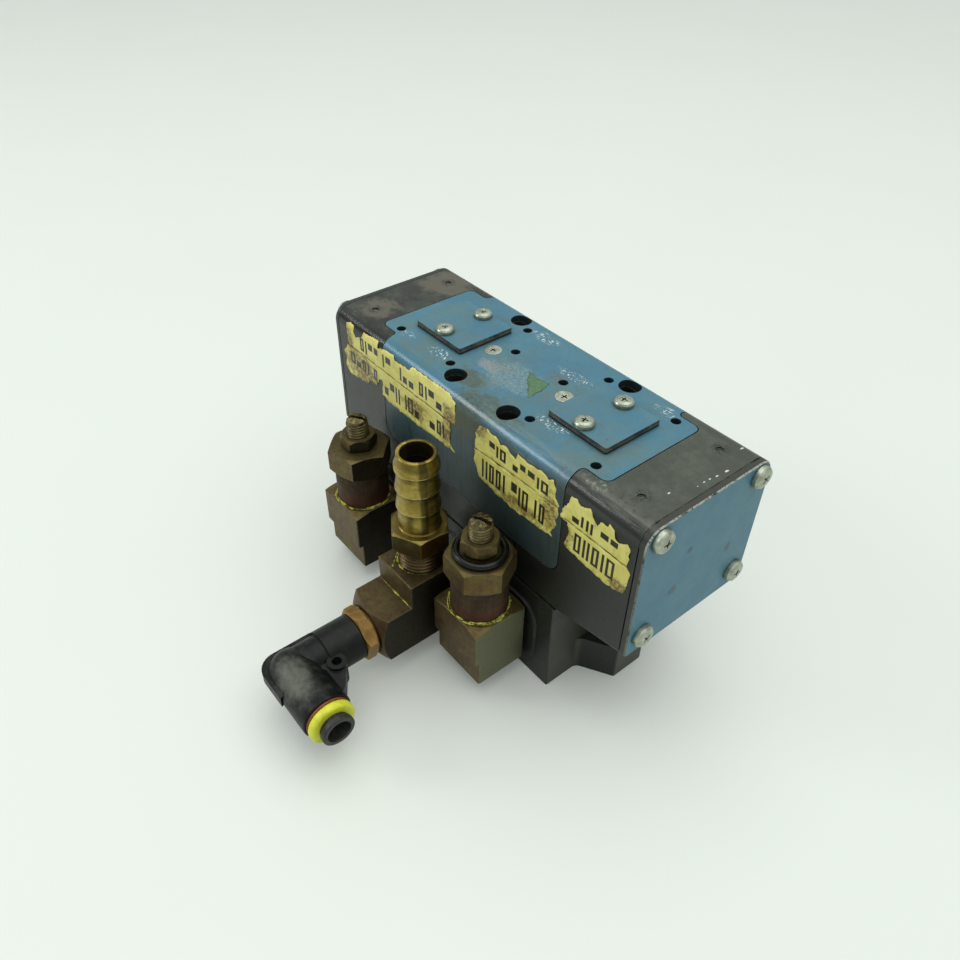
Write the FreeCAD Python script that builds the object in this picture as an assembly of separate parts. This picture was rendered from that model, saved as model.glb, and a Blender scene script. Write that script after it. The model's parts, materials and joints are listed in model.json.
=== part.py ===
import FreeCAD, Part
import math
import os

# Five-port spool valve on a sub-base, with brass fittings in its three front ports.
# Millimetres, +Z up. The origin is the centre of the sub-base's footprint, on the surface it stands on.
# +X runs along the valve, and the fittings stand out towards -Y.

# Sub-base
base_length = 138.4
base_depth = 68.2
base_height = 47.9
base_corner_radius = 0.8
ear_reach = 14.8
ear_overlap = 10.0
ear_flank = 20.0
ear_height = 18.5
ear_root_half = 17.0
ear_tip_half = 8.2
ear_root_fillet = 4.0
ear_tip_fillet = 1.0
ear_hole_radius = 3.4
ear_hole_inset = 8.3

# Ports in the sub-base
port_axis_z = 22.4
port_radius = 10.0
port_depth = 15.0
port_mouth_chamfer = 1.0
port_boss_size = 36.0
port_boss_corner = 10.5
port_boss_rise = 1.2
passage_radius = 6.5
gallery_radius = 4.5
gallery_offset_y = 8.0
passage_wall = 1.0
left_exhaust_x = -42.5
supply_x = 12.5
right_exhaust_x = 42.5
outlet_spacing = 36.0

# Housing
base_gasket_thickness = 0.6
gasket_inset = 0.8
housing_offset_x = 12.5
housing_length = 179.0
housing_width = 65.2
housing_height = 67.5
housing_edge_radius = 7.0
housing_foot_radius = 2.0
underside_flat = 113.4
underside_rise = 6.4
bore_height = 38.5
bore_radius = 16.0
gallery_pitch = 18.0
corner_dimple_inset_x = 11.2
corner_dimple_inset_y = 12.5
corner_dimple_radius = 1.5
corner_dimple_depth = 0.7

# Saddle cover
cover_thickness = 3.0
cover_top_inset_x = 23.0
cover_top_inset_y = 8.4
cover_notch_length = 11.0
cover_skirt_height = 48.0
cover_top_corner = 3.0
cover_skirt_corner = 6.0
cover_notch_radius = 2.2
cover_groove = 0.4
seat_gap = 0.05

# Screws and wells
well_radius = 4.6
near_well_x = 15.8
far_well_x = 31.8
well_inset_y = 8.5
bolt_radius = 2.5
bolt_head_radius = 4.25
bolt_head_height = 5.0
bolt_seat_height = 12.0
bolt_reach = 11.0
bolt_socket_flats = 4.0
hole_gap = 0.15
cover_screw_x = 21.1
cover_screw_y = -0.7
cover_screw_head_radius = 3.7
cover_screw_radius = 2.0
cover_screw_length = 9.5
spare_hole_radius = 2.0
spare_hole_depth = 8.0
spare_hole_far_x = 57.8
spare_hole_near_x = 23.8
spare_hole_inset_y = 12.0
vent_hole_x = 14.1
vent_hole_y = 5.4

# End plates and their screws
end_gasket_thickness = 0.5
end_plate_thickness = 2.5
end_plate_edge = 0.5
end_screw_inset_y = 7.1
end_screw_top_drop = 5.5
end_screw_spacing_z = 47.0
end_screw_head_radius = 4.5
end_screw_head_height = 3.0
end_screw_radius = 2.4
end_screw_reach = 14.0

# Pilot blanking plates
pilot_pad_x = 41.0
pilot_plate_length = 29.5
pilot_plate_width = 28.0
pilot_plate_thickness = 2.0
pilot_gasket_thickness = 0.7
pilot_plate_corner = 0.8
pilot_screw_y = 10.2
pilot_screw_head_radius = 3.8
pilot_screw_head_height = 2.4
pilot_screw_radius = 1.9
pilot_screw_reach = 8.0
pilot_drill_radius = 2.0

# Spool set
sleeve_bore_radius = 9.5
sleeve_gap = 0.05
sleeve_window_radius = 2.2
sleeve_windows = 6
sleeve_seal_section = 1.3
spool_gap = 0.03
spool_neck_radius = 5.5
spool_land = 10.0
spool_travel = 8.0
piston_length = 11.0
piston_gap = 0.08
piston_stop_gap = 0.5
piston_seal_section = 1.3
piston_boss_radius = 6.0

# Exhaust elbows
fitting_stand_off = 1.3
elbow_width = 27.4
elbow_depth = 26.0
elbow_drop = 13.8
elbow_rise = 18.9
elbow_step_rise = 0.2
elbow_step = 2.0
elbow_edge = 0.9
elbow_crown_drop = 2.3
shank_gap = 0.05
shank_reach = 13.0
elbow_bore_radius = 7.0
elbow_socket_depth = 13.0

# Exhaust restrictors
restrictor_hex_flats = 24.8
filter_length = 16.9
restrictor_hex_height = 11.3
restrictor_foot_radius = 10.0
restrictor_foot_length = 12.0
restrictor_cage_radius = 8.6
restrictor_cage_bore = 6.4
restrictor_window_radius = 2.6
restrictor_seat_radius = 4.0
restrictor_seat_length = 4.0
filter_radius = 11.8
filter_gap = 0.2
screw_radius = 4.8
screw_gap = 0.08
screw_top_above_nut = 8.6
screw_thread_length = 30.0
screw_slot_width = 1.5
screw_slot_depth = 2.4
needle_radius = 3.2
needle_clearance = 1.5
lock_nut_flats = 14.2
lock_nut_height = 5.9
lock_nut_crown = 1.5
head_crown = 0.55
lock_ring_radius = 11.0
lock_ring_height = 2.8
left_hex_angle = -46.0
right_hex_angle = -64.5
left_nut_angle = -60.0
right_nut_angle = -50.0
left_slot_angle = 35.0
right_slot_angle = 24.0

# Supply tee
tee_width = 24.0
tee_neck_length = 6.4
tee_block_depth = 27.2
tee_branch_length = 15.2
tee_rise = 23.9
tee_edge = 0.6
tee_end_radius = 11.2
tee_end_taper = 3.4
tee_neck_radius = 10.8
tee_bore_radius = 6.5
tee_top_socket_depth = 12.0
tee_front_socket_depth = 11.0
tee_socket_radius = 9.0

# Hose barb
barb_hex_flats = 22.6
barb_hex_angle = -34.0
barb_thread_shown = 11.3
barb_hex_height = 9.4
barb_tail_length = 36.0
barb_bore_radius = 6.25
barb_tip_radius = 7.65
barb_ridge_radius = 9.05
barb_valley_radius = 8.2
barb_neck_radius = 8.45
barb_first_ridge = 7.2
barb_first_band = 2.0
barb_lip = 1.4
barb_ridge_width = 0.5
barb_pitch = 9.3
barb_ridges = 3
barb_thread_radius = 9.4

# Push-in elbow
stud_collar_length = 0.8
stud_collar_radius = 9.4
stud_hex_flats = 20.6
stud_hex_length = 5.5
stud_hex_angle = 15.0
spigot_radius = 6.4
spigot_length = 17.0
spigot_bore_radius = 3.8
spigot_groove_length = 2.4
spigot_groove_depth = 1.4
spigot_gap = 0.08
swivel_face_gap = 0.3
swivel_radius = 10.0
swivel_bend_length = 28.5
swivel_leg_radius = 10.3
swivel_leg_length = 26.5
swivel_sleeve_length = 16.0
swivel_bend_radius = 9.6
swivel_edge = 0.6
swivel_bore_radius = 4.2
swivel_pocket_radius = 8.0
liner_length = 1.0
tube_ring_length = 3.6
tube_ring_radius = 9.7
tube_ring_edge = 1.3
tube_ring_pocket = 2.0
collet_radius = 6.1
collet_flange_radius = 6.9
collet_edge = 0.5
collet_flange_length = 2.6
collet_bore_radius = 5.05
collet_travel = 1.2
collet_gap = 0.08
collet_tail = 9.0
grip_ring_thickness = 0.6
tube_seal_length = 2.6
swivel_neck_radius = 8.8
swivel_collar_length = 15.2
web_height = 8.6
web_reach = 19.0
web_flank = 23.8
web_corner_x = 20.5
web_corner_y = 12.0
eye_radius = 4.0
eye_height = 11.6
eye_hole_radius = 2.0
eye_offset_x = 10.5
eye_offset_y = 14.4
rib_height = 5.0
rib_reach = 10.9
rib_corner = 8.0

# Derived places
base_front_y = -base_depth / 2
base_back_y = base_depth / 2
housing_x = housing_offset_x
housing_y = base_front_y + housing_width / 2
housing_low_z = base_height + base_gasket_thickness
housing_top_z = housing_low_z + housing_height
well_y = housing_width / 2 - well_inset_y
end_screw_y = housing_width / 2 - end_screw_inset_y
spare_hole_y = housing_width / 2 - spare_hole_inset_y
corner_dimple_x = housing_length / 2 - corner_dimple_inset_x
corner_dimple_y = housing_width / 2 - corner_dimple_inset_y
cover_top_half_x = housing_length / 2 - cover_top_inset_x
cover_top_half_y = housing_width / 2 - cover_top_inset_y
cover_band_half_x = cover_top_half_x - cover_notch_length
housing_end_low_z = housing_low_z + underside_rise
bore_z = housing_low_z + bore_height
chamber_end = housing_length / 2
sleeve_half = chamber_end - piston_length - spool_travel - piston_stop_gap
sleeve_radius = bore_radius - sleeve_gap
spool_radius = sleeve_bore_radius - spool_gap
spool_half = sleeve_half + spool_travel / 2
spool_rest = -spool_travel / 2
end_screw_z = [housing_top_z - end_screw_top_drop, housing_top_z - end_screw_top_drop - end_screw_spacing_z]
bolt_places = [(sign * x, side * well_y) for x, side in ((near_well_x, -1), (far_well_x, 1)) for sign in (-1, 1)]
front_galleries = [(-2, left_exhaust_x), (0, supply_x), (2, right_exhaust_x)]
back_galleries = [(-1, housing_x - outlet_spacing / 2), (1, housing_x + outlet_spacing / 2)]
port_face_y = base_front_y - port_boss_rise
elbow_back_y = port_face_y - fitting_stand_off
elbow_axis_y = elbow_back_y - elbow_depth / 2
elbow_front_y = elbow_back_y - elbow_depth
elbow_low_z = port_axis_z - elbow_drop
elbow_step_z = port_axis_z + elbow_step_rise
elbow_top_z = port_axis_z + elbow_rise
restrictor_hex_low_z = elbow_top_z + filter_length
tee_block_back_y = elbow_back_y - tee_neck_length
tee_block_front_y = tee_block_back_y - tee_block_depth
tee_axis_y = (tee_block_front_y + tee_block_back_y) / 2
tee_branch_end_y = tee_block_front_y - tee_branch_length
tee_top_z = port_axis_z + tee_rise
barb_hex_low_z = tee_top_z + barb_thread_shown
barb_top_z = barb_hex_low_z + barb_hex_height + barb_tail_length
stud_hex_start_y = tee_branch_end_y - stud_collar_length
stud_hex_end_y = stud_hex_start_y - stud_hex_length
swivel_start_y = stud_hex_end_y - swivel_face_gap
swivel_bend_y = swivel_start_y - swivel_bend_length
swivel_end_x = supply_x + swivel_leg_length
tube_ring_start_x = swivel_end_x + liner_length
tube_ring_end_x = tube_ring_start_x + tube_ring_length

SHAPES = {}


def keep(name, shape):
    SHAPES[name] = shape


def vec(x, y, z):
    return FreeCAD.Vector(x, y, z)


def box(x0, x1, y0, y1, z0, z1):
    return Part.makeBox(x1 - x0, y1 - y0, z1 - z0, vec(x0, y0, z0))


def rod(radius, start, end):
    """A cylinder between two points."""
    path = end - start
    return Part.makeCylinder(radius, path.Length, start, path)


def edges_off_plane(solid, z):
    """The edges of a block that don't lie in the level plane at z."""
    return [edge for edge in solid.Edges if abs(edge.BoundBox.ZMin - z) + abs(edge.BoundBox.ZMax - z) > 0.01]


def tube(outer, inner, start, end):
    return rod(outer, start, end).cut(rod(inner, start, end))


def round_rims(solid, radius, least):
    """Rounds the circular edges of at least the given radius."""
    rims = [edge for edge in solid.Edges if isinstance(edge.Curve, Part.Circle) and edge.Curve.Radius >= least]
    return solid.makeFillet(radius, rims)


def cone(radius_start, radius_end, start, end):
    path = end - start
    return Part.makeCone(radius_start, radius_end, path.Length, start, path)


def rounded_wire(corners):
    """A closed wire through (x, y, radius) corners, each corner turned into an arc of its radius."""
    points = [vec(x, y, 0) for x, y, radius in corners]
    edges = []
    count = len(corners)
    starts = []
    ends = []
    middles = []
    for i in range(count):
        here = points[i]
        back = (points[i - 1] - here).normalize()
        ahead = (points[(i + 1) % count] - here).normalize()
        radius = corners[i][2]
        half = back.getAngle(ahead) / 2
        reach = radius / math.tan(half)
        starts.append(here + back * reach)
        ends.append(here + ahead * reach)
        inward = (back + ahead).normalize()
        middles.append(here + inward * (radius / math.sin(half) - radius))
    for i in range(count):
        if corners[i][2] > 0:
            edges.append(Part.Arc(starts[i], middles[i], ends[i]).toShape())
        following = (i + 1) % count
        if (starts[following] - ends[i]).Length > 1e-6:
            edges.append(Part.LineSegment(ends[i], starts[following]).toShape())
    return Part.Wire(edges)


def plate(corners, low_z, height):
    """A flat piece whose plan outline is given by (x, y, radius) corners."""
    solid = Part.Face(rounded_wire(corners)).extrude(vec(0, 0, height))
    solid.translate(vec(0, 0, low_z))
    return solid


def rectangle(half_x, half_y, radius, x=0, y=0):
    return [(x - half_x, y - half_y, radius), (x + half_x, y - half_y, radius),
            (x + half_x, y + half_y, radius), (x - half_x, y + half_y, radius)]


def to_front(solid):
    """Turns a piece drawn in plan so that its plan Y becomes Z and its height runs along +Y."""
    solid.rotate(vec(0, 0, 0), vec(1, 0, 0), 90)
    solid.mirror(vec(0, 0, 0), vec(0, 1, 0))
    return solid


def to_side(solid):
    """Turns a piece drawn in plan so that plan X, Y become Y, Z and its height runs along +X."""
    solid.rotate(vec(0, 0, 0), vec(1, 1, 1), 120)
    return solid


def hexagon(flats, centre, height, angle, axis="Z", crown=head_crown):
    """A hexagonal prism with chamfered corners at both ends, one corner at the given angle."""
    corner_radius = flats / math.sqrt(3)
    corners = []
    for i in range(6):
        turn = math.radians(angle + 60 * i)
        corners.append((corner_radius * math.cos(turn), corner_radius * math.sin(turn), 0))
    prism = plate(corners, 0, height)
    overhang = corner_radius - flats / 2
    slope = overhang * crown
    blank_profile = [(0, 0), (flats / 2, 0), (corner_radius + 0.01, slope), (corner_radius + 0.01, height - slope),
                     (flats / 2, height), (0, height)]
    prism = prism.common(revolved(blank_profile))
    if axis == "Y":
        prism.rotate(vec(0, 0, 0), vec(1, 0, 0), 90)
    prism.translate(centre)
    return prism


def revolved(profile):
    """A turned piece about Z from (radius, height) points."""
    points = [vec(radius, 0, height) for radius, height in profile]
    points.append(points[0])
    face = Part.Face(Part.makePolygon(points))
    return face.revolve(vec(0, 0, 0), vec(0, 0, 1), 360)


def ring(radius, section, centre, axis):
    """An O-ring whose section radius is given, about a centre."""
    return Part.makeTorus(radius, section, centre, axis)


def housing_profile(inset, low_z):
    """The housing's end outline in plan form: Y across, Z up, rounded top corners."""
    half = housing_width / 2 - inset
    top = housing_top_z - inset
    crown = housing_edge_radius - inset
    return [(housing_y - half, low_z, 0), (housing_y + half, low_z, 0),
            (housing_y + half, top, crown), (housing_y - half, top, crown)]


def along_x(corners, x0, x1):
    solid = to_side(plate(corners, 0, x1 - x0))
    solid.translate(vec(x0, 0, 0))
    return solid


def cover_zone(grow):
    """The space of the saddle cover, grown sideways by the groove that surrounds it."""
    wide = cover_top_half_x + grow
    narrow = cover_band_half_x + grow
    deep = cover_top_half_y + grow
    past = housing_width / 2 + 1
    corner = cover_top_corner + grow
    notch = cover_notch_radius - grow
    quarter = [(wide, -deep, corner), (wide, deep, corner), (narrow, deep, notch), (narrow, past, 0)]
    plan = [(housing_x + narrow, housing_y - past, 0), (housing_x + narrow, housing_y - deep, notch)]
    plan += [(housing_x + x, housing_y + y, radius) for x, y, radius in quarter]
    plan += [(housing_x - x, housing_y + y, radius) for x, y, radius in reversed(quarter)]
    plan += [(housing_x - narrow, housing_y - deep, notch), (housing_x - narrow, housing_y - past, 0)]
    low = housing_top_z - cover_skirt_height - grow
    shoulder = housing_top_z - 2 * cover_thickness
    high = housing_top_z + cover_thickness
    skirt_corner = cover_skirt_corner + grow
    outline = [(housing_x - narrow, low, skirt_corner), (housing_x + narrow, low, skirt_corner),
               (housing_x + narrow, shoulder, 0), (housing_x + wide + 1, shoulder, 0), (housing_x + wide + 1, high, 0),
               (housing_x - wide - 1, high, 0), (housing_x - wide - 1, shoulder, 0), (housing_x - narrow, shoulder, 0)]
    front = to_front(plate(outline, 0, 2 * past))
    front.translate(vec(0, housing_y + past - front.BoundBox.YMax, 0))
    return plate(plan, low - 1, high + 1 - low).common(front)


def cover_shell(inset, grow):
    reach = housing_length / 2
    outer = along_x(housing_profile(0, housing_low_z), housing_x - reach, housing_x + reach)
    inner = along_x(housing_profile(inset, housing_low_z - 1), housing_x - reach - 1, housing_x + reach + 1)
    return cover_zone(grow).common(outer.cut(inner))


def wells(radius, low_z, high_z):
    return Part.makeCompound([rod(radius, vec(housing_x + x, housing_y + y, low_z),
                                  vec(housing_x + x, housing_y + y, high_z)) for x, y in bolt_places])


def spare_holes(low_z, high_z):
    """Tapped holes in the top for a larger pilot unit, and two small vents."""
    places = [(-spare_hole_far_x, -1), (spare_hole_far_x, -1), (spare_hole_far_x, 1)]
    places += [(sign * spare_hole_near_x, side) for sign in (-1, 1) for side in (-1, 1)]
    holes = []
    for x, side in places:
        foot = vec(housing_x + x, housing_y + side * spare_hole_y, low_z)
        holes.append(rod(spare_hole_radius, foot, foot + vec(0, 0, high_z - low_z)))
    for sign in (-1, 1):
        foot = vec(housing_x + sign * vent_hole_x, housing_y + vent_hole_y, low_z)
        holes.append(rod(spare_hole_radius, foot, foot + vec(0, 0, high_z - low_z)))
    return Part.makeCompound(holes)


def cover_screw(sign, gap):
    """A flat-head screw with its head flush in the cover; gap widens it into the hole it needs."""
    x = housing_x + sign * cover_screw_x
    y = housing_y + cover_screw_y
    top = vec(x, y, housing_top_z)
    head_depth = cover_screw_head_radius - cover_screw_radius
    head = cone(cover_screw_radius + gap, cover_screw_head_radius + gap, top - vec(0, 0, head_depth), top)
    shank = rod(cover_screw_radius + gap, top - vec(0, 0, cover_screw_length + gap), top - vec(0, 0, head_depth / 2))
    return head.fuse(shank)


def cross_recess(radius, depth, top):
    """A cross recess, pointing down from a screw head's top."""
    width = radius * 0.3
    arms = []
    for half_x, half_y in ((radius, width / 2), (width / 2, radius)):
        arm = box(-half_x, half_x, -half_y, half_y, -depth, 1)
        arms.append(arm)
    cutter = arms[0].fuse(arms[1]).common(cone(0.2, radius * 0.92, vec(0, 0, -depth), vec(0, 0, 0.4)))
    cutter.translate(top)
    return cutter


def pan_screw(radius, head_radius, head_height, length):
    """A pan-head cross-recess screw standing on Z = 0 with its shank below."""
    dome = head_height * 0.42
    profile = [(0, 0), (head_radius, 0), (head_radius, head_height - dome),
               (head_radius * 0.86, head_height - dome * 0.3), (head_radius * 0.55, head_height), (0, head_height)]
    head = revolved(profile)
    shank = rod(radius, vec(0, 0, -length), vec(0, 0, 0.2))
    return head.fuse(shank).cut(cross_recess(head_radius * 0.56, head_height * 0.6, vec(0, 0, head_height)))


def socket_bolt(x, y):
    seat = housing_low_z + bolt_seat_height
    foot = vec(x, y, base_height - bolt_reach)
    head = rod(bolt_head_radius, vec(x, y, seat), vec(x, y, seat + bolt_head_height))
    shank = rod(bolt_radius, foot, vec(x, y, seat + 0.2))
    socket = hexagon(bolt_socket_flats, vec(x, y, seat + bolt_head_height / 2), bolt_head_height, 0)
    return head.fuse(shank).cut(socket)


def make_housing():
    low = housing_low_z
    reach = housing_length / 2
    flat = underside_flat / 2
    side = [(housing_x - flat, low, 0), (housing_x + flat, low, 0), (housing_x + reach, low + underside_rise, 0),
            (housing_x + reach, housing_top_z + 1, 0), (housing_x - reach, housing_top_z + 1, 0),
            (housing_x - reach, low + underside_rise, 0)]
    side_solid = to_front(plate(side, 0, housing_width + 4))
    side_solid.translate(vec(0, housing_y + housing_width / 2 + 2 - side_solid.BoundBox.YMax, 0))
    body = along_x(housing_profile(0, low - 1), housing_x - reach, housing_x + reach).common(side_solid)
    foot_edges = [edge for edge in body.Edges if edge.BoundBox.ZMax < housing_end_low_z + 0.1
                  and edge.BoundBox.YLength < 0.01]
    body = body.makeFillet(housing_foot_radius, foot_edges)
    body = body.cut(cover_shell(cover_thickness + seat_gap, cover_groove))
    cuts = [rod(bore_radius, vec(housing_x - reach - 1, housing_y, bore_z), vec(housing_x + reach + 1, housing_y, bore_z))]
    cuts.append(wells(well_radius, low + bolt_seat_height, housing_top_z + 1))
    cuts.append(wells(bolt_radius + hole_gap, low - 1, low + bolt_seat_height + 1))
    cuts.append(spare_holes(housing_top_z - spare_hole_depth, housing_top_z + 1))
    for sign in (-1, 1):
        cuts.append(cover_screw(sign, seat_gap))
        cuts.append(pilot_drilling(sign))
        for edge in (-1, 1):
            place = vec(housing_x + sign * pilot_pad_x, housing_y + edge * pilot_screw_y, housing_top_z)
            cuts.append(rod(pilot_screw_radius + seat_gap, place - vec(0, 0, pilot_screw_reach + 1), place))
            dimple = vec(housing_x + sign * corner_dimple_x, housing_y + edge * corner_dimple_y, housing_top_z)
            cuts.append(rod(corner_dimple_radius, dimple - vec(0, 0, corner_dimple_depth), dimple + vec(0, 0, 1)))
            for z in end_screw_z:
                inner = housing_x + sign * (reach - end_screw_reach - 1)
                outer = housing_x + sign * (reach + 1)
                y = housing_y + edge * end_screw_y
                cuts.append(rod(end_screw_radius + seat_gap, vec(inner, y, z), vec(outer, y, z)))
    for x, y in gallery_places():
        cuts.append(rod(gallery_radius, vec(x, y, low - 1), vec(x, y, bore_z)))
    for cutter in cuts:
        body = body.cut(cutter)
    keep("valve_housing", body)


def gallery_places():
    """Where the passages cross from the sub-base into the housing."""
    places = [(housing_x + step * gallery_pitch, housing_y - gallery_offset_y) for step, port in front_galleries]
    places += [(housing_x + step * gallery_pitch, housing_y + gallery_offset_y) for step, port in back_galleries]
    return places


def pilot_drilling(sign):
    """The slanted drilling from a pilot pad into the chamber behind its piston."""
    start = vec(housing_x + sign * pilot_pad_x, housing_y, housing_top_z - cover_thickness + 1)
    end = vec(housing_x + sign * (chamber_end - piston_length / 2), housing_y, bore_z + bore_radius * 0.8)
    return rod(pilot_drill_radius, start, end)


def make_saddle_cover():
    cover = cover_shell(cover_thickness, 0)
    cover = cover.cut(wells(well_radius, housing_low_z, housing_top_z + 1))
    cover = cover.cut(spare_holes(housing_low_z + housing_height / 2, housing_top_z + 1))
    for sign in (-1, 1):
        cover = cover.cut(cover_screw(sign, seat_gap))
        pad = vec(housing_x + sign * pilot_pad_x, housing_y, housing_top_z)
        cover = cover.cut(rod(pilot_drill_radius, pad - vec(0, 0, cover_thickness + 1), pad + vec(0, 0, 1)))
        for edge in (-1, 1):
            place = pad + vec(0, edge * pilot_screw_y, 0)
            cover = cover.cut(rod(pilot_screw_radius + seat_gap, place - vec(0, 0, cover_thickness + 1),
                                  place + vec(0, 0, 1)))
    keep("saddle_cover", cover)


def make_cover_screws():
    screws = []
    for sign in (-1, 1):
        top = vec(housing_x + sign * cover_screw_x, housing_y + cover_screw_y, housing_top_z)
        screws.append(cover_screw(sign, 0).cut(cross_recess(cover_screw_head_radius * 0.6, 1.5, top)))
    keep("cover_screws", Part.makeCompound(screws))


def make_body_bolts():
    keep("body_bolts", Part.makeCompound([socket_bolt(housing_x + x, housing_y + y) for x, y in bolt_places]))


def end_outline(inset):
    """The outline of an end plate or its gasket, the same as the housing's end."""
    half = housing_width / 2 - inset
    top = housing_top_z - inset
    low = housing_end_low_z + inset
    foot = housing_foot_radius
    crown = housing_edge_radius - inset
    return [(housing_y - half, low, foot), (housing_y + half, low, foot),
            (housing_y + half, top, crown), (housing_y - half, top, crown)]


def make_end(name, sign):
    """An end gasket, an end plate and its four screws, on the side that sign gives."""
    seat = housing_x + sign * chamber_end
    outer = seat + sign * (end_gasket_thickness + end_plate_thickness)
    middle = seat + sign * end_gasket_thickness
    gasket = along_x(end_outline(gasket_inset), min(seat, middle), max(seat, middle))
    cover = along_x(end_outline(0), min(middle, outer), max(middle, outer))
    face_edges = [edge for edge in cover.Edges if edge.BoundBox.XLength < 0.01
                  and abs(edge.BoundBox.XMin - outer) < 0.01]
    cover = cover.makeChamfer(end_plate_edge, face_edges)
    gasket = gasket.cut(rod(bore_radius, vec(seat - 1, housing_y, bore_z), vec(seat + 1, housing_y, bore_z)))
    screws = []
    for edge in (-1, 1):
        for z in end_screw_z:
            y = housing_y + edge * end_screw_y
            hole = rod(end_screw_radius + seat_gap, vec(seat - 5, y, z), vec(seat + 5, y, z))
            gasket = gasket.cut(hole)
            cover = cover.cut(hole)
            reach = end_screw_reach + end_gasket_thickness + end_plate_thickness
            screw = pan_screw(end_screw_radius, end_screw_head_radius, end_screw_head_height, reach)
            screw.rotate(vec(0, 0, 0), vec(0, 0, 1), 25 * edge + z)
            screw.rotate(vec(0, 0, 0), vec(0, 1, 0), 90 * sign)
            screw.translate(vec(outer, y, z))
            screws.append(screw)
    keep(name + "_end_gasket", gasket)
    keep(name + "_end_plate", cover)
    keep(name + "_end_screws", Part.makeCompound(screws))


def make_pilot_plates():
    screws = []
    for name, sign in (("left", -1), ("right", 1)):
        x = housing_x + sign * pilot_pad_x
        outline = rectangle(pilot_plate_length / 2, pilot_plate_width / 2, pilot_plate_corner, x, housing_y)
        gasket = plate(outline, housing_top_z, pilot_gasket_thickness)
        cover_low = housing_top_z + pilot_gasket_thickness
        cover = plate(outline, cover_low, pilot_plate_thickness)
        top = cover_low + pilot_plate_thickness
        for edge in (-1, 1):
            y = housing_y + edge * pilot_screw_y
            hole = rod(pilot_screw_radius + seat_gap, vec(x, y, housing_top_z - 1), vec(x, y, top + 1))
            gasket = gasket.cut(hole)
            cover = cover.cut(hole)
            reach = pilot_screw_reach + pilot_gasket_thickness + pilot_plate_thickness
            screw = pan_screw(pilot_screw_radius, pilot_screw_head_radius, pilot_screw_head_height, reach)
            screw.rotate(vec(0, 0, 0), vec(0, 0, 1), 30 + 40 * edge + 25 * sign)
            screw.translate(vec(x, y, top))
            screws.append(screw)
        keep(name + "_pilot_gasket", gasket)
        keep(name + "_pilot_plate", cover)
    keep("pilot_plate_screws", Part.makeCompound(screws))


def make_base_gasket():
    half = underside_flat / 2 - gasket_inset
    outline = rectangle(half, housing_width / 2 - housing_foot_radius - gasket_inset, 2, housing_x, housing_y)
    gasket = plate(outline, base_height, base_gasket_thickness)
    base_right = base_length / 2 - gasket_inset
    gasket = gasket.common(box(-base_right, base_right, -base_depth, base_depth, 0, housing_top_z))
    for x, y in gallery_places():
        gasket = gasket.cut(rod(gallery_radius, vec(x, y, base_height - 1), vec(x, y, housing_low_z + 1)))
    gasket = gasket.cut(wells(bolt_radius + hole_gap, base_height - 1, housing_low_z + 1))
    keep("base_gasket", gasket)


def make_sub_base():
    half = base_length / 2
    tip = half + ear_reach
    block = plate(rectangle(half, base_depth / 2, base_corner_radius), 0, base_height)
    inner = half - ear_overlap
    flank = ear_root_half + ear_flank
    ear = [(inner, -flank, 0), (half, -flank, 0), (half, -ear_root_half, ear_root_fillet),
           (tip, -ear_tip_half, ear_tip_fillet), (tip, ear_tip_half, ear_tip_fillet),
           (half, ear_root_half, ear_root_fillet), (half, flank, 0), (inner, flank, 0)]
    flat_half_y = base_depth / 2 - base_corner_radius
    right_ear = plate(ear, 0, ear_height).common(box(half - base_corner_radius - 1, tip + 1, -flat_half_y, flat_half_y,
                                                     -1, ear_height + 1))
    left_ear = right_ear.mirror(vec(0, 0, 0), vec(1, 0, 0))
    base = block.fuse(right_ear).fuse(left_ear)
    for step, port in front_galleries:
        boss = to_front(plate(rectangle(port_boss_size / 2, port_boss_size / 2, port_boss_corner, port, port_axis_z),
                              0, port_boss_rise + 2))
        boss.translate(vec(0, port_face_y - boss.BoundBox.YMin, 0))
        base = base.fuse(boss)
    base = base.removeSplitter()
    for sign in (-1, 1):
        x = sign * (tip - ear_hole_inset)
        base = base.cut(rod(ear_hole_radius, vec(x, 0, -1), vec(x, 0, ear_height + 1)))
    for step, port in front_galleries:
        base = base.cut(port_cut(port, port_face_y, 1, step))
    for step, port in back_galleries:
        base = base.cut(port_cut(port, base_back_y, -1, step))
    base = base.cut(wells(bolt_radius + hole_gap, base_height - bolt_reach - 1, base_height + 1))
    keep("sub_base", base)


def port_cut(port, face_y, inward, step):
    """A tapped port, its passage and the cored way up to the gallery in the top face."""
    gallery_x = housing_x + step * gallery_pitch
    gallery_y = housing_y - inward * gallery_offset_y
    mouth = vec(port, face_y - inward, port_axis_z)
    thread_end = vec(port, face_y + inward * port_depth, port_axis_z)
    passage_end = vec(port, gallery_y + inward * (gallery_radius + passage_wall), port_axis_z)
    lip = vec(port, face_y, port_axis_z)
    chamfer_end = vec(port, face_y + inward * port_mouth_chamfer, port_axis_z)
    hole = rod(port_radius, mouth, thread_end)
    hole = hole.fuse(cone(port_radius + port_mouth_chamfer, port_radius, lip, chamfer_end))
    hole = hole.fuse(rod(passage_radius, thread_end - vec(0, inward, 0), passage_end))
    rise_foot = vec(gallery_x, gallery_y, port_axis_z)
    hole = hole.fuse(rod(gallery_radius, rise_foot, vec(gallery_x, gallery_y, base_height + 1)))
    offset = gallery_x - port
    if abs(offset) > passage_radius:
        past = math.copysign(gallery_radius, offset)
        hole = hole.fuse(rod(gallery_radius * 0.9, vec(port, gallery_y, port_axis_z), rise_foot + vec(past, 0, 0)))
    return hole


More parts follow.
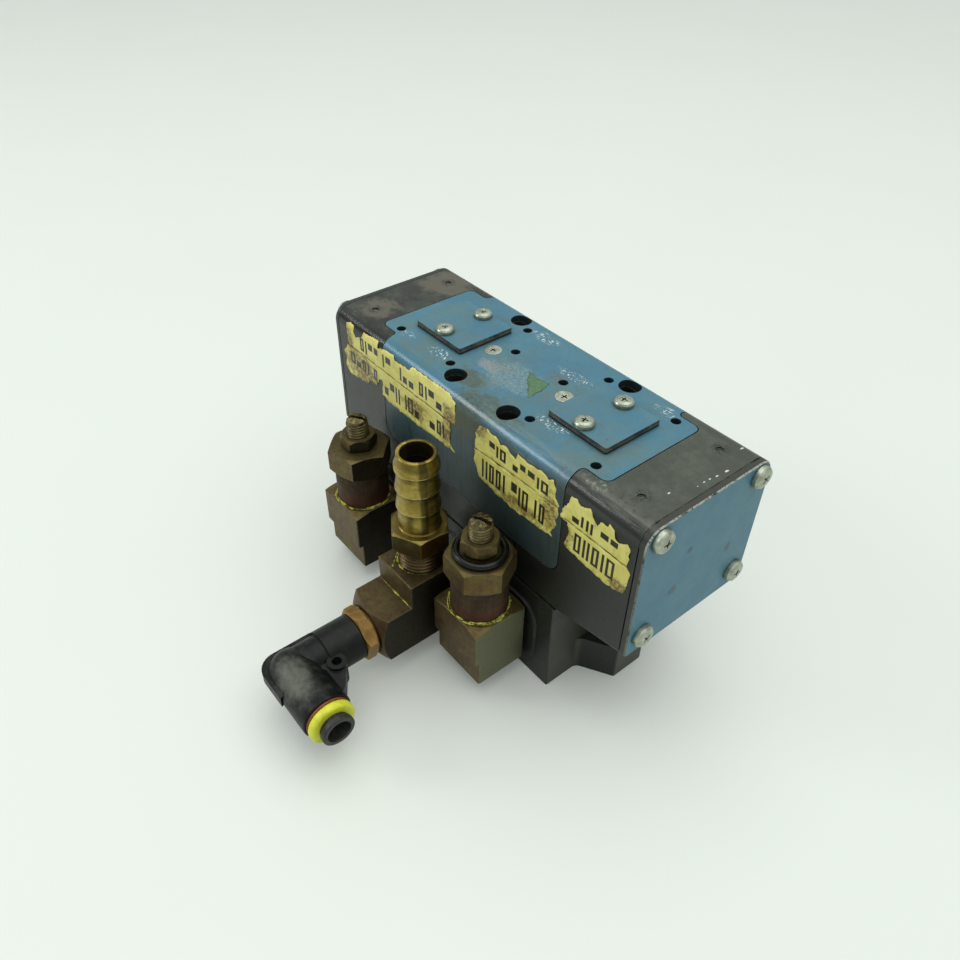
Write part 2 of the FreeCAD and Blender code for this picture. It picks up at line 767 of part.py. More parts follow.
def make_spool_set():
    left_end = vec(housing_x - sleeve_half, housing_y, bore_z)
    right_end = vec(housing_x + sleeve_half, housing_y, bore_z)
    sleeve = tube(sleeve_radius, sleeve_bore_radius, left_end, right_end)
    groove_floor = bore_radius - 2 * (sleeve_seal_section + seat_gap)
    seals = []
    for step in range(-2, 3):
        x = housing_x + step * gallery_pitch
        annulus = tube(sleeve_radius + 1, sleeve_radius - 1.5, vec(x - gallery_radius, housing_y, bore_z),
                       vec(x + gallery_radius, housing_y, bore_z))
        sleeve = sleeve.cut(annulus)
        for window in range(sleeve_windows):
            turn = math.radians(360 / sleeve_windows * window)
            out = vec(x, housing_y + sleeve_radius * math.cos(turn) * 1.1, bore_z + sleeve_radius * math.sin(turn) * 1.1)
            sleeve = sleeve.cut(rod(sleeve_window_radius, vec(x, housing_y, bore_z), out))
    for step in range(-3, 3):
        x = housing_x + (step + 0.5) * gallery_pitch
        groove = tube(sleeve_radius + 1, groove_floor, vec(x - sleeve_seal_section * 1.3, housing_y, bore_z),
                      vec(x + sleeve_seal_section * 1.3, housing_y, bore_z))
        sleeve = sleeve.cut(groove)
        seals.append(ring(bore_radius - sleeve_seal_section - seat_gap, sleeve_seal_section,
                          vec(x, housing_y, bore_z), vec(1, 0, 0)))
    keep("spool_sleeve", sleeve)
    keep("sleeve_seals", Part.makeCompound(seals))
    middle = housing_x + spool_rest
    spool = rod(spool_radius, vec(middle - spool_half, housing_y, bore_z), vec(middle + spool_half, housing_y, bore_z))
    for sign in (-1, 1):
        for start in (spool_land / 2, spool_land / 2 + gallery_pitch):
            neck_end = start + gallery_pitch - spool_land
            neck = tube(spool_radius + 1, spool_neck_radius, vec(middle + sign * start, housing_y, bore_z),
                        vec(middle + sign * neck_end, housing_y, bore_z))
            spool = spool.cut(neck)
    keep("spool", spool)
    for name, sign in (("left", -1), ("right", 1)):
        make_piston(name, sign, middle + sign * spool_half)


def make_piston(name, sign, inner_x):
    """A pilot piston that bears on the spool's end, with its seal."""
    inner = vec(inner_x, housing_y, bore_z)
    outer = vec(inner_x + sign * piston_length, housing_y, bore_z)
    radius = bore_radius - piston_gap
    piston = rod(radius, inner, outer)
    seal_x = inner_x + sign * piston_length / 2
    width = piston_seal_section * 1.3
    groove_floor = bore_radius - 2 * (piston_seal_section + seat_gap)
    groove = tube(radius + 1, groove_floor, vec(seal_x - width, housing_y, bore_z),
                  vec(seal_x + width, housing_y, bore_z))
    dish = rod(radius - 4, outer - vec(sign * 3, 0, 0), outer + vec(sign, 0, 0))
    dish = dish.cut(rod(piston_boss_radius, outer - vec(sign * 3, 0, 0), outer + vec(sign, 0, 0)))
    keep(name + "_pilot_piston", piston.cut(groove).cut(dish))
    keep(name + "_piston_seal", ring(bore_radius - piston_seal_section - seat_gap, piston_seal_section,
                                     vec(seal_x, housing_y, bore_z), vec(1, 0, 0)))


def turned_crown(half, drop, axis, low_z, top_z):
    """The turned blank that takes a square block's top corners down by drop."""
    corner = half * math.sqrt(2) + 1
    crown = revolved([(0, low_z - 1), (corner, low_z - 1), (corner, top_z - drop), (half + 0.2, top_z), (0, top_z)])
    crown.translate(axis)
    return crown


def make_elbow(name, x):
    """A forged street elbow: its shank enters the sub-base and its socket looks up."""
    half = elbow_width / 2
    upper = box(x - half, x + half, elbow_front_y, elbow_back_y, elbow_step_z, elbow_top_z)
    upper = upper.makeFillet(elbow_edge, edges_off_plane(upper, elbow_step_z))
    upper = upper.common(turned_crown(half, elbow_crown_drop, vec(x, elbow_axis_y, 0), elbow_low_z, elbow_top_z))
    lower = box(x - half, x + half, elbow_front_y + elbow_step, elbow_back_y, elbow_low_z, elbow_step_z)
    lower = lower.makeFillet(elbow_edge, edges_off_plane(lower, elbow_step_z))
    block = upper.fuse(lower)
    shank_end = vec(x, port_face_y + shank_reach, port_axis_z)
    shank = rod(port_radius - shank_gap, vec(x, elbow_back_y - 1, port_axis_z), shank_end)
    elbow = block.fuse(shank)
    socket_low = elbow_top_z - elbow_socket_depth
    elbow = elbow.cut(rod(restrictor_foot_radius + shank_gap, vec(x, elbow_axis_y, socket_low),
                          vec(x, elbow_axis_y, elbow_top_z + 1)))
    elbow = elbow.cut(rod(elbow_bore_radius, vec(x, elbow_axis_y, port_axis_z), vec(x, elbow_axis_y, socket_low + 1)))
    elbow = elbow.cut(rod(elbow_bore_radius, vec(x, elbow_axis_y, port_axis_z), shank_end + vec(0, 1, 0)))
    elbow = elbow.cut(Part.makeSphere(elbow_bore_radius, vec(x, elbow_axis_y, port_axis_z)))
    keep(name + "_elbow", elbow)


def make_restrictor(name, x, hex_angle, nut_angle, slot_angle, ring_height):
    """An adjustable exhaust restrictor: body, filter sleeve, slotted needle screw and lock nut."""
    y = elbow_axis_y
    top = elbow_top_z
    hex_low = restrictor_hex_low_z
    hex_top = hex_low + restrictor_hex_height
    body = hexagon(restrictor_hex_flats, vec(x, y, hex_low), restrictor_hex_height, hex_angle)
    body = body.fuse(rod(restrictor_cage_radius, vec(x, y, top), vec(x, y, hex_low + 1)))
    body = body.fuse(rod(restrictor_foot_radius, vec(x, y, top - restrictor_foot_length), vec(x, y, top)))
    seat_top = top - restrictor_foot_length + restrictor_seat_length
    body = body.cut(rod(restrictor_seat_radius, vec(x, y, top - restrictor_foot_length - 1), vec(x, y, hex_low)))
    body = body.cut(rod(restrictor_cage_bore, vec(x, y, seat_top), vec(x, y, hex_low)))
    body = body.cut(rod(screw_radius + screw_gap, vec(x, y, hex_low - 1), vec(x, y, hex_top + 1)))
    for turn in (0, 90):
        across = vec(math.cos(math.radians(turn)), math.sin(math.radians(turn)), 0) * (restrictor_cage_radius + 1)
        for share in (0.3, 0.7):
            middle = vec(x, y, top + (hex_low - top) * share)
            body = body.cut(rod(restrictor_window_radius, middle - across, middle + across))
    keep(name + "_restrictor_body", body)
    sleeve = tube(filter_radius, restrictor_cage_radius + filter_gap, vec(x, y, top), vec(x, y, hex_low))
    keep(name + "_filter_sleeve", sleeve)
    nut_low = hex_top + ring_height
    nut = hexagon(lock_nut_flats, vec(x, y, nut_low), lock_nut_height, nut_angle, crown=lock_nut_crown)
    hole = rod(screw_radius + screw_gap, vec(x, y, nut_low - 1), vec(x, y, nut_low + lock_nut_height + 1))
    keep(name + "_lock_nut", nut.cut(hole))
    screw_top = nut_low + lock_nut_height + screw_top_above_nut
    thread_low = screw_top - screw_thread_length
    tip = seat_top + needle_clearance - restrictor_seat_length / 2
    profile = [(0, tip), (needle_radius * 0.35, tip), (needle_radius, tip + needle_radius * 1.6),
               (needle_radius, thread_low), (screw_radius, thread_low + 1), (screw_radius, screw_top - 0.7),
               (screw_radius - 0.7, screw_top), (0, screw_top)]
    screw = revolved(profile)
    slot = box(-screw_radius - 1, screw_radius + 1, -screw_slot_width / 2, screw_slot_width / 2,
               screw_top - screw_slot_depth, screw_top + 1)
    slot.rotate(vec(0, 0, 0), vec(0, 0, 1), slot_angle)
    screw = screw.cut(slot)
    screw.translate(vec(x, y, 0))
    keep(name + "_adjusting_screw", screw)
    if ring_height > 0:
        section = ring_height / 2
        keep(name + "_lock_ring", ring(lock_ring_radius - section, section, vec(x, y, hex_top + section), vec(0, 0, 1)))


def make_tee():
    x = supply_x
    half = tee_width / 2
    run_low = port_axis_z - half
    run_top = port_axis_z + half
    body = box(x - half, x + half, tee_block_front_y, tee_block_back_y, run_low, tee_top_z)
    branch = box(x - half, x + half, tee_branch_end_y, tee_block_front_y + 1, run_low, run_top)
    body = body.fuse(branch).removeSplitter()
    body = body.makeFillet(tee_edge, body.Edges)
    end = vec(x, tee_branch_end_y, port_axis_z)
    taper = box(x - half - 1, x + half + 1, end.y - 1, end.y + tee_end_taper, run_low - 1, run_top + 1)
    corner_reach = half * 2 ** 0.5
    taper = taper.cut(cone(tee_end_radius, corner_reach, end, end + vec(0, tee_end_taper, 0)))
    body = body.cut(taper)
    neck = rod(tee_neck_radius, vec(x, tee_block_back_y - 3, port_axis_z), vec(x, elbow_back_y, port_axis_z))
    shank_end = vec(x, port_face_y + shank_reach, port_axis_z)
    shank = rod(port_radius - shank_gap, vec(x, elbow_back_y - 1, port_axis_z), shank_end)
    tee = body.fuse(neck).fuse(shank)
    tee = tee.cut(rod(tee_bore_radius, vec(x, tee_branch_end_y + 1, port_axis_z), shank_end + vec(0, 1, 0)))
    tee = tee.cut(rod(tee_socket_radius, vec(x, tee_branch_end_y - 1, port_axis_z),
                      vec(x, tee_branch_end_y + tee_front_socket_depth, port_axis_z)))
    tee = tee.cut(rod(tee_bore_radius, vec(x, tee_axis_y, port_axis_z), vec(x, tee_axis_y, tee_top_z)))
    tee = tee.cut(rod(barb_thread_radius + shank_gap, vec(x, tee_axis_y, tee_top_z - tee_top_socket_depth),
                      vec(x, tee_axis_y, tee_top_z + 1)))
    keep("supply_tee", tee)


def make_hose_barb():
    """A turned barb: thread below, hex, then ridges that slope towards the tip."""
    hex_top = barb_hex_low_z + barb_hex_height
    low = tee_top_z - tee_top_socket_depth + 1
    profile = [(barb_bore_radius, low), (barb_thread_radius, low), (barb_thread_radius, barb_hex_low_z + 1),
               (barb_neck_radius, barb_hex_low_z + 1)]
    ridges = [barb_top_z - barb_first_ridge - barb_pitch * i for i in range(barb_ridges)]
    for z in reversed(ridges):
        profile.append((barb_neck_radius if z == ridges[-1] else barb_valley_radius, z - 0.6))
        profile.append((barb_ridge_radius, z))
        if z == ridges[0]:
            profile.append((barb_ridge_radius, z + barb_first_band))
            profile.append((barb_tip_radius, barb_top_z - barb_lip))
        else:
            profile.append((barb_ridge_radius, z + barb_ridge_width))
            profile.append((barb_valley_radius, z + barb_pitch * 0.62))
    profile.append((barb_tip_radius, barb_top_z))
    profile.append((barb_bore_radius, barb_top_z))
    barb = revolved(profile)
    head = hexagon(barb_hex_flats, vec(0, 0, barb_hex_low_z), barb_hex_height, barb_hex_angle)
    head = head.cut(rod(barb_bore_radius, vec(0, 0, barb_hex_low_z - 1), vec(0, 0, hex_top + 1)))
    barb = barb.fuse(head)
    barb.translate(vec(supply_x, tee_axis_y, 0))
    keep("hose_barb", barb)


def make_stud():
    """The hex stud that screws into the tee and carries the swivelling elbow on its spigot."""
    x = supply_x
    z = port_axis_z
    thread_end = tee_branch_end_y + tee_front_socket_depth - 1
    stud = rod(tee_socket_radius - shank_gap, vec(x, tee_branch_end_y - 1, z), vec(x, thread_end, z))
    stud = stud.fuse(rod(stud_collar_radius, vec(x, stud_hex_start_y, z), vec(x, tee_branch_end_y, z)))
    stud = stud.fuse(hexagon(stud_hex_flats, vec(x, stud_hex_start_y, z), stud_hex_length, stud_hex_angle, "Y"))
    spigot_end = stud_hex_end_y - spigot_length
    stud = stud.fuse(rod(spigot_radius, vec(x, spigot_end, z), vec(x, stud_hex_end_y + 1, z)))
    groove_y = spigot_end + spigot_length * 0.35
    stud = stud.cut(tube(spigot_radius + 1, spigot_radius - spigot_groove_depth,
                         vec(x, groove_y, z), vec(x, groove_y + spigot_groove_length, z)))
    stud = stud.cut(rod(spigot_bore_radius, vec(x, spigot_end - 1, z), vec(x, thread_end + 1, z)))
    keep("stud_fitting", stud)
    section = spigot_groove_depth / 2 + spigot_gap / 2
    keep("stud_seal", ring(spigot_radius - spigot_groove_depth + section, section - 0.01,
                           vec(x, groove_y + spigot_groove_length / 2, z), vec(0, 1, 0)))


def make_swivel_elbow():
    x = supply_x
    z = port_axis_z
    bend = vec(x, swivel_bend_y, z)
    start = vec(x, swivel_start_y, z)
    end = vec(swivel_end_x, swivel_bend_y, z)
    collar_end = start - vec(0, swivel_collar_length, 0)
    elbow = rod(swivel_radius, collar_end, start).fuse(rod(swivel_neck_radius, bend, start))
    elbow = elbow.fuse(rod(swivel_bend_radius, bend, end - vec(1, 0, 0))).fuse(Part.makeSphere(swivel_bend_radius, bend))
    sleeve = round_rims(rod(swivel_leg_radius, end - vec(swivel_sleeve_length, 0, 0), end), swivel_edge, swivel_leg_radius)
    elbow = elbow.fuse(sleeve)
    web = [(0, 0, 0), (web_flank, 0, 0), (web_flank, swivel_neck_radius, 1), (web_corner_x, web_corner_y, 1),
           (swivel_neck_radius + 1, web_reach, 1), (0, web_reach, 0)]
    web = plate(web, z - web_height / 2, web_height)
    rib_end = swivel_start_y - swivel_bend_y - swivel_collar_length + 1
    rib = [(-rib_reach, rib_end, 0), (-rib_reach, -rib_reach, rib_corner), (swivel_leg_radius, -rib_reach, 0), (0, rib_end, 0)]
    rib = plate(rib, z - rib_height / 2, rib_height)
    for piece in (web, rib):
        piece.translate(vec(x, swivel_bend_y, 0))
        elbow = elbow.fuse(piece)
    eye = vec(x + eye_offset_x, swivel_bend_y + eye_offset_y, z - eye_height / 2)
    elbow = elbow.fuse(rod(eye_radius, eye, eye + vec(0, 0, eye_height)))
    elbow = elbow.cut(rod(eye_hole_radius, eye - vec(0, 0, 1), eye + vec(0, 0, eye_height + 1)))
    spigot_end_y = stud_hex_end_y - spigot_length
    elbow = elbow.cut(rod(spigot_radius + spigot_gap, vec(x, spigot_end_y - swivel_face_gap, z), start + vec(0, 1, 0)))
    elbow = elbow.cut(rod(swivel_bore_radius, bend, start)).cut(rod(swivel_bore_radius, bend, end))
    elbow = elbow.cut(Part.makeSphere(swivel_bore_radius, bend))
    pocket_x = collet_inner_x() - collet_travel - grip_ring_thickness - tube_seal_length
    elbow = elbow.cut(rod(swivel_pocket_radius, vec(pocket_x, swivel_bend_y, z), end + vec(1, 0, 0)))
    tube_stop_x = pocket_x - 4
    elbow = elbow.cut(rod(collet_bore_radius, vec(tube_stop_x, swivel_bend_y, z), vec(pocket_x + 1, swivel_bend_y, z)))
    keep("swivel_elbow", elbow)


def collet_inner_x():
    """Where the collet's inner end lies when it is released outwards."""
    return tube_ring_end_x + collet_travel + seat_gap - collet_tail - tube_ring_length


def make_tube_end():
    """The rings, seal, grip ring and release collet in the elbow's tube end."""
    y = swivel_bend_y
    z = port_axis_z
    inner_x = collet_inner_x() - collet_travel
    seal_x = inner_x - grip_ring_thickness - tube_seal_length
    pocket = swivel_pocket_radius - seat_gap
    seal = tube(pocket, collet_bore_radius, vec(seal_x, y, z), vec(seal_x + tube_seal_length, y, z))
    grip_x = seal_x + tube_seal_length
    grip = tube(pocket, collet_bore_radius, vec(grip_x, y, z), vec(grip_x + grip_ring_thickness, y, z))
    keep("tube_seal", seal)
    keep("grip_ring", grip)
    liner = tube(tube_ring_radius - 0.3, swivel_pocket_radius, vec(swivel_end_x, y, z), vec(tube_ring_start_x, y, z))
    keep("tube_liner", liner)
    lip = tube(tube_ring_radius, collet_radius + collet_gap, vec(tube_ring_start_x, y, z), vec(tube_ring_end_x, y, z))
    lip = round_rims(lip, tube_ring_edge, tube_ring_radius)
    neck = tube(pocket, collet_radius + collet_gap, vec(swivel_end_x - tube_ring_pocket, y, z),
                vec(tube_ring_start_x + 1, y, z))
    keep("tube_ring", lip.fuse(neck))
    flange_x = tube_ring_end_x + collet_travel + seat_gap
    collet = rod(collet_radius, vec(collet_inner_x(), y, z), vec(flange_x + 1, y, z))
    flange = rod(collet_flange_radius, vec(flange_x, y, z), vec(flange_x + collet_flange_length, y, z))
    collet = collet.fuse(round_rims(flange, collet_edge, collet_flange_radius))
    collet = collet.cut(rod(collet_bore_radius, vec(collet_inner_x() - 1, y, z), vec(flange_x + 10, y, z)))
    keep("release_collet", collet)


make_sub_base()
make_base_gasket()
make_housing()
make_saddle_cover()
make_cover_screws()
make_body_bolts()
make_end("left", -1)
make_end("right", 1)
make_pilot_plates()
make_spool_set()
make_elbow("left", left_exhaust_x)
make_elbow("right", right_exhaust_x)
make_restrictor("left", left_exhaust_x, left_hex_angle, left_nut_angle, left_slot_angle, 0)
make_restrictor("right", right_exhaust_x, right_hex_angle, right_nut_angle, right_slot_angle, lock_ring_height)
make_tee()
make_hose_barb()
make_stud()
make_swivel_elbow()
make_tube_end()

os.makedirs("parts", exist_ok=True)
for name, shape in SHAPES.items():
    shape.exportStep("parts/" + name + ".step")
    print(name, len(shape.Solids), "solids", round(shape.Volume, 1), "mm3", shape.isValid())
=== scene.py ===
import json
import math
import random

import bpy
import bmesh
from mathutils import Matrix, Vector, noise
from mathutils.geometry import delaunay_2d_cdt


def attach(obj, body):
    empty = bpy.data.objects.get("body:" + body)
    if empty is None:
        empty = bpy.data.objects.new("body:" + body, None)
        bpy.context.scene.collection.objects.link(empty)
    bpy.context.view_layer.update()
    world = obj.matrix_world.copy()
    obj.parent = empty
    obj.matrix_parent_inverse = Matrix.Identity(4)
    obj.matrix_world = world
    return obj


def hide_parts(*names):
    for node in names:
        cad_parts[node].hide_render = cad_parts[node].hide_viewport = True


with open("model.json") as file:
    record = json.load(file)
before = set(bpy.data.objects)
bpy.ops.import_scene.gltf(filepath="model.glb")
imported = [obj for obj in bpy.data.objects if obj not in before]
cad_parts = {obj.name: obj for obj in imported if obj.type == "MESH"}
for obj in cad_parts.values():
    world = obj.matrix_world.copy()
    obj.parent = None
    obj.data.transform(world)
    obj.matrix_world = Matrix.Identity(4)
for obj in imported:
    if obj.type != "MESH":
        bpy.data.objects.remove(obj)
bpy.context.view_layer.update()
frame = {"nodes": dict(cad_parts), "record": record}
NODES = frame["nodes"]
MM = 0.001

# Places shared with the CAD model, in mm
SIDE_Y, FAR_Y, TOP_Z, EDGE_R = -34.1, 31.1, 116.0, 7.0  # the housing: its sides, top and rounded long edges
HOUSING_X, SEAM_OFF = 12.5, 89.75  # its middle, and from there to the end gaskets
LEFT_X, SUPPLY_X, RIGHT_X = -42.5, 12.5, 42.5  # the three fittings on the near side
SIDES = (("left", LEFT_X), ("right", RIGHT_X))
ELBOW_Y, TEE_Y, SWIVEL_Z = -49.6, -56.6, 22.4
ELBOW_TOP, HEX_LOW = 41.3, 58.2  # the wound filter sleeves lie between these
TEE_TOP, TEE_FRONT, TEE_STEP = 46.3, -70.2, 34.4
LEFT_SCREW_TOP, RIGHT_SCREW_TOP = 84.0, 86.8
TAIL_HEX_LOW, TAIL_HEX_TOP, TAIL_TIP = 57.6, 67.0, 103.0  # the hose tail
TAIL_RIDGES = (77.2, 86.5, 95.8)

# The view of the photograph, as azimuth, elevation and roll in degrees, place in m and lens in mm
CAMERA_TURN = (50.273, 40.627, 1.006)
CAMERA_PLACE = (0.212780, -0.191925, 0.295739)
CAMERA_LENS = 31.046

WORLD_LOW, WORLD_HIGH = 0.30, 0.75
FLOOR_GLOW, FLOOR_FAR_GLOW = 0.09, 0.24
FLOOR_REACH, FLOOR_DROP = 7.0, 0.0001
EDGE_SAMPLES = 6


def srgb(*colour):
    """A colour given by 0-255 screen values, made linear."""
    shares = [value / 255 for value in colour]
    return (*(s / 12.92 if s <= 0.04045 else ((s + 0.055) / 1.055) ** 2.4 for s in shares), 1.0)


def add_object(name, data):
    thing = bpy.data.objects.new(name, data)
    bpy.context.collection.objects.link(thing)
    return thing


def new_mesh(name, verts, faces):
    mesh = bpy.data.meshes.new(name)
    mesh.from_pydata(verts, [], faces)
    return mesh


# Camera and light

def make_camera():
    across, above, roll = (math.radians(angle) for angle in CAMERA_TURN)
    back = Vector((math.sin(across) * math.cos(above), -math.cos(across) * math.cos(above), math.sin(above)))
    level = Vector((math.cos(across), math.sin(across), 0))
    upright = back.cross(level)
    right = level * math.cos(roll) + upright * math.sin(roll)
    up = upright * math.cos(roll) - level * math.sin(roll)
    data = bpy.data.cameras.new("camera")
    data.sensor_width = 36
    data.lens = CAMERA_LENS
    camera = add_object("camera", data)
    camera.matrix_world = Matrix((right, up, back)).transposed().to_4x4()
    camera.matrix_world.translation = Vector(CAMERA_PLACE)
    bpy.context.scene.camera = camera


def area_light(name, place, target, size, power, colour):
    data = bpy.data.lights.new(name, "AREA")
    data.shape = "DISK"
    data.size = size
    data.energy = power
    data.color = colour
    lamp = add_object(name, data)
    lamp.location = place
    lamp.rotation_euler = (Vector(target) - Vector(place)).to_track_quat("-Z", "Y").to_euler()


def make_world():
    """A pale studio that lights from above more than from the sides, with a plain pale backdrop for the camera."""
    world = bpy.data.worlds.new("studio")
    bpy.context.scene.world = world
    world.use_nodes = True
    tree = world.node_tree
    tree.nodes.clear()
    out = tree.nodes.new("ShaderNodeOutputWorld")
    path = tree.nodes.new("ShaderNodeLightPath")
    place = tree.nodes.new("ShaderNodeTexCoord")
    axes = tree.nodes.new("ShaderNodeSeparateXYZ")
    height = tree.nodes.new("ShaderNodeMapRange")
    for key, value in (("From Min", -0.1), ("From Max", 0.9), ("To Min", WORLD_LOW), ("To Max", WORLD_HIGH)):
        height.inputs[key].default_value = value
    ambient = tree.nodes.new("ShaderNodeBackground")
    ambient.inputs["Color"].default_value = (0.96, 1.0, 0.97, 1)
    seen = tree.nodes.new("ShaderNodeBackground")
    seen.inputs["Color"].default_value = srgb(222, 231, 222)
    seen.inputs["Strength"].default_value = 1.0
    choose = tree.nodes.new("ShaderNodeMixShader")
    for start, end in ((place.outputs["Generated"], axes.inputs[0]), (axes.outputs[2], height.inputs["Value"]),
                       (height.outputs[0], ambient.inputs["Strength"]),
                       (path.outputs["Is Camera Ray"], choose.inputs[0]), (ambient.outputs[0], choose.inputs[1]),
                       (seen.outputs[0], choose.inputs[2]), (choose.outputs[0], out.inputs[0])):
        tree.links.new(start, end)


# Materials

class Finish:
    """A procedural material. Sizes are in mm, places are read from the object's own coordinates.

    x, y and z are sockets that give the place, faces_x, faces_y and faces_z those that give the way the surface
    faces, and colour is what has been laid on so far. Colours are 0-255 screen values, except in mix and lay.
    """

    def __init__(self, name, colour):
        self.material = bpy.data.materials.new(name)
        self.material.use_nodes = True
        self.tree = self.material.node_tree
        self.tree.nodes.clear()
        coordinates = self.add("ShaderNodeTexCoord")
        in_mm = {0: coordinates.outputs["Object"], "Scale": 1 / MM}
        self.place = self.add("ShaderNodeVectorMath", in_mm, operation="SCALE").outputs[0]
        self.x, self.y, self.z = self.split(self.place)
        self.faces_x, self.faces_y, self.faces_z = self.split(coordinates.outputs["Normal"])
        self.shader = self.add("ShaderNodeBsdfPrincipled")
        self.add("ShaderNodeOutputMaterial", {0: self.shader.outputs[0]})
        self.colour = srgb(*colour)

    def add(self, kind, inputs=None, **settings):
        """A new node, with values or sockets for its inputs."""
        node = self.tree.nodes.new(kind)
        for key, value in settings.items():
            setattr(node, key, value)
        for key, value in (inputs or {}).items():
            self.join(value, node.inputs[key])
        return node

    def join(self, value, socket):
        if isinstance(value, bpy.types.NodeSocket):
            self.tree.links.new(value, socket)
        else:
            socket.default_value = value

    def split(self, vector):
        return self.add("ShaderNodeSeparateXYZ", {0: vector}).outputs

    def noise(self, size, detail=3.0, rough=0.55, stretch=(1, 1, 1), shift=0.0, twist=0.0):
        moved = {"Vector": self.place, "Location": (shift, shift * 0.7, shift * 1.3), "Scale": stretch}
        mapping = self.add("ShaderNodeMapping", moved)
        texture = {"Vector": mapping.outputs[0], "Scale": 1.0 / size, "Detail": detail, "Roughness": rough,
                   "Distortion": twist}
        return self.add("ShaderNodeTexNoise", texture).outputs["Fac"]

    def math(self, operation, a, b=0.0, c=0.0):
        return self.add("ShaderNodeMath", {0: a, 1: b, 2: c}, operation=operation).outputs[0]

    def vector(self, operation, a, b=(0, 0, 0)):
        return self.add("ShaderNodeVectorMath", {0: a, 1: b}, operation=operation).outputs

    def step(self, value, low, high):
        """0 below low and 1 above high, smoothly; low may be the larger."""
        ends = (low, high, 0.0, 1.0) if low < high else (high, low, 1.0, 0.0)
        inputs = dict(zip(("Value", "From Min", "From Max", "To Min", "To Max"), (value, *ends)))
        return self.add("ShaderNodeMapRange", inputs, interpolation_type="SMOOTHSTEP").outputs["Result"]

    def grain(self, low, high, *texture, **more):
        """Patches of noise: 0 where it is below low and 1 where it is above high."""
        return self.step(self.noise(*texture, **more), low, high)

    def times(self, *values):
        result = values[0]
        for value in values[1:]:
            result = self.math("MULTIPLY", result, value)
        return result

    def most(self, *values):
        result = values[0]
        for value in values[1:]:
            result = self.math("MAXIMUM", result, value)
        return result

    def plus(self, a, b):
        return self.math("ADD", a, b)

    def minus(self, a, b):
        return self.math("SUBTRACT", a, b)

    def scaled(self, value, by, plus):
        return self.math("MULTIPLY_ADD", value, by, plus)

    def off(self, value, middle):
        """How far a value is from the middle."""
        return self.math("ABSOLUTE", self.minus(value, middle))

    def mix(self, share, under, over):
        return self.add("ShaderNodeMix", {0: share, 6: under, 7: over}, data_type="RGBA").outputs[2]

    def lay(self, colour, *shares):
        """Lay a linear colour or a colour socket on, by the product of the shares."""
        self.colour = self.mix(self.times(*shares), self.colour, colour)

    def over(self, colour, *shares):
        """Lay a colour of screen values on, by the product of the shares."""
        self.lay(srgb(*colour), *shares)

    def spot(self, centre, reach, soft=0.35, ragged=0.8, size=4.0, shift=0.0):
        """A ragged patch about a place, 1 inside."""
        moved = self.vector("SUBTRACT", self.place, centre)[0]
        length = self.vector("LENGTH", self.vector("DIVIDE", moved, reach)[0])
        wander = self.minus(self.noise(size, 4, 0.65, shift=shift + centre[0]), 0.5)
        wander = self.times(wander, ragged * 2)
        return self.step(self.plus(length["Value"], wander), 1 + soft, 1 - soft)

    def spots(self, *rows):
        return self.most(*(self.spot(*row) for row in rows))

    def bevel(self, radius):
        return self.add("ShaderNodeBevel", {"Radius": radius * MM}, samples=EDGE_SAMPLES).outputs[0]

    def rims(self, radius):
        """1 along sharp edges."""
        geometry = self.add("ShaderNodeNewGeometry")
        dot = self.vector("DOT_PRODUCT", self.bevel(radius), geometry.outputs["Normal"])
        return self.step(self.minus(1.0, dot["Value"]), 0.02, 0.25)

    def crevices(self, reach, low=0.35, high=0.85):
        """1 where the surface is shut in."""
        shade = self.add("ShaderNodeAmbientOcclusion", {"Distance": reach * MM}, samples=EDGE_SAMPLES)
        return self.step(shade.outputs["AO"], high, low)

    def close(self, rough, relief, depth, rounding=0.0, metallic=0.0):
        bump = self.add("ShaderNodeBump", {"Strength": 1.0, "Distance": depth * MM, "Height": relief})
        if rounding:
            self.join(self.bevel(rounding), bump.inputs["Normal"])
        for key, value in (("Base Color", self.colour), ("Roughness", rough), ("Metallic", metallic),
                           ("Normal", bump.outputs[0])):
            self.join(value, self.shader.inputs[key])
        return self.material


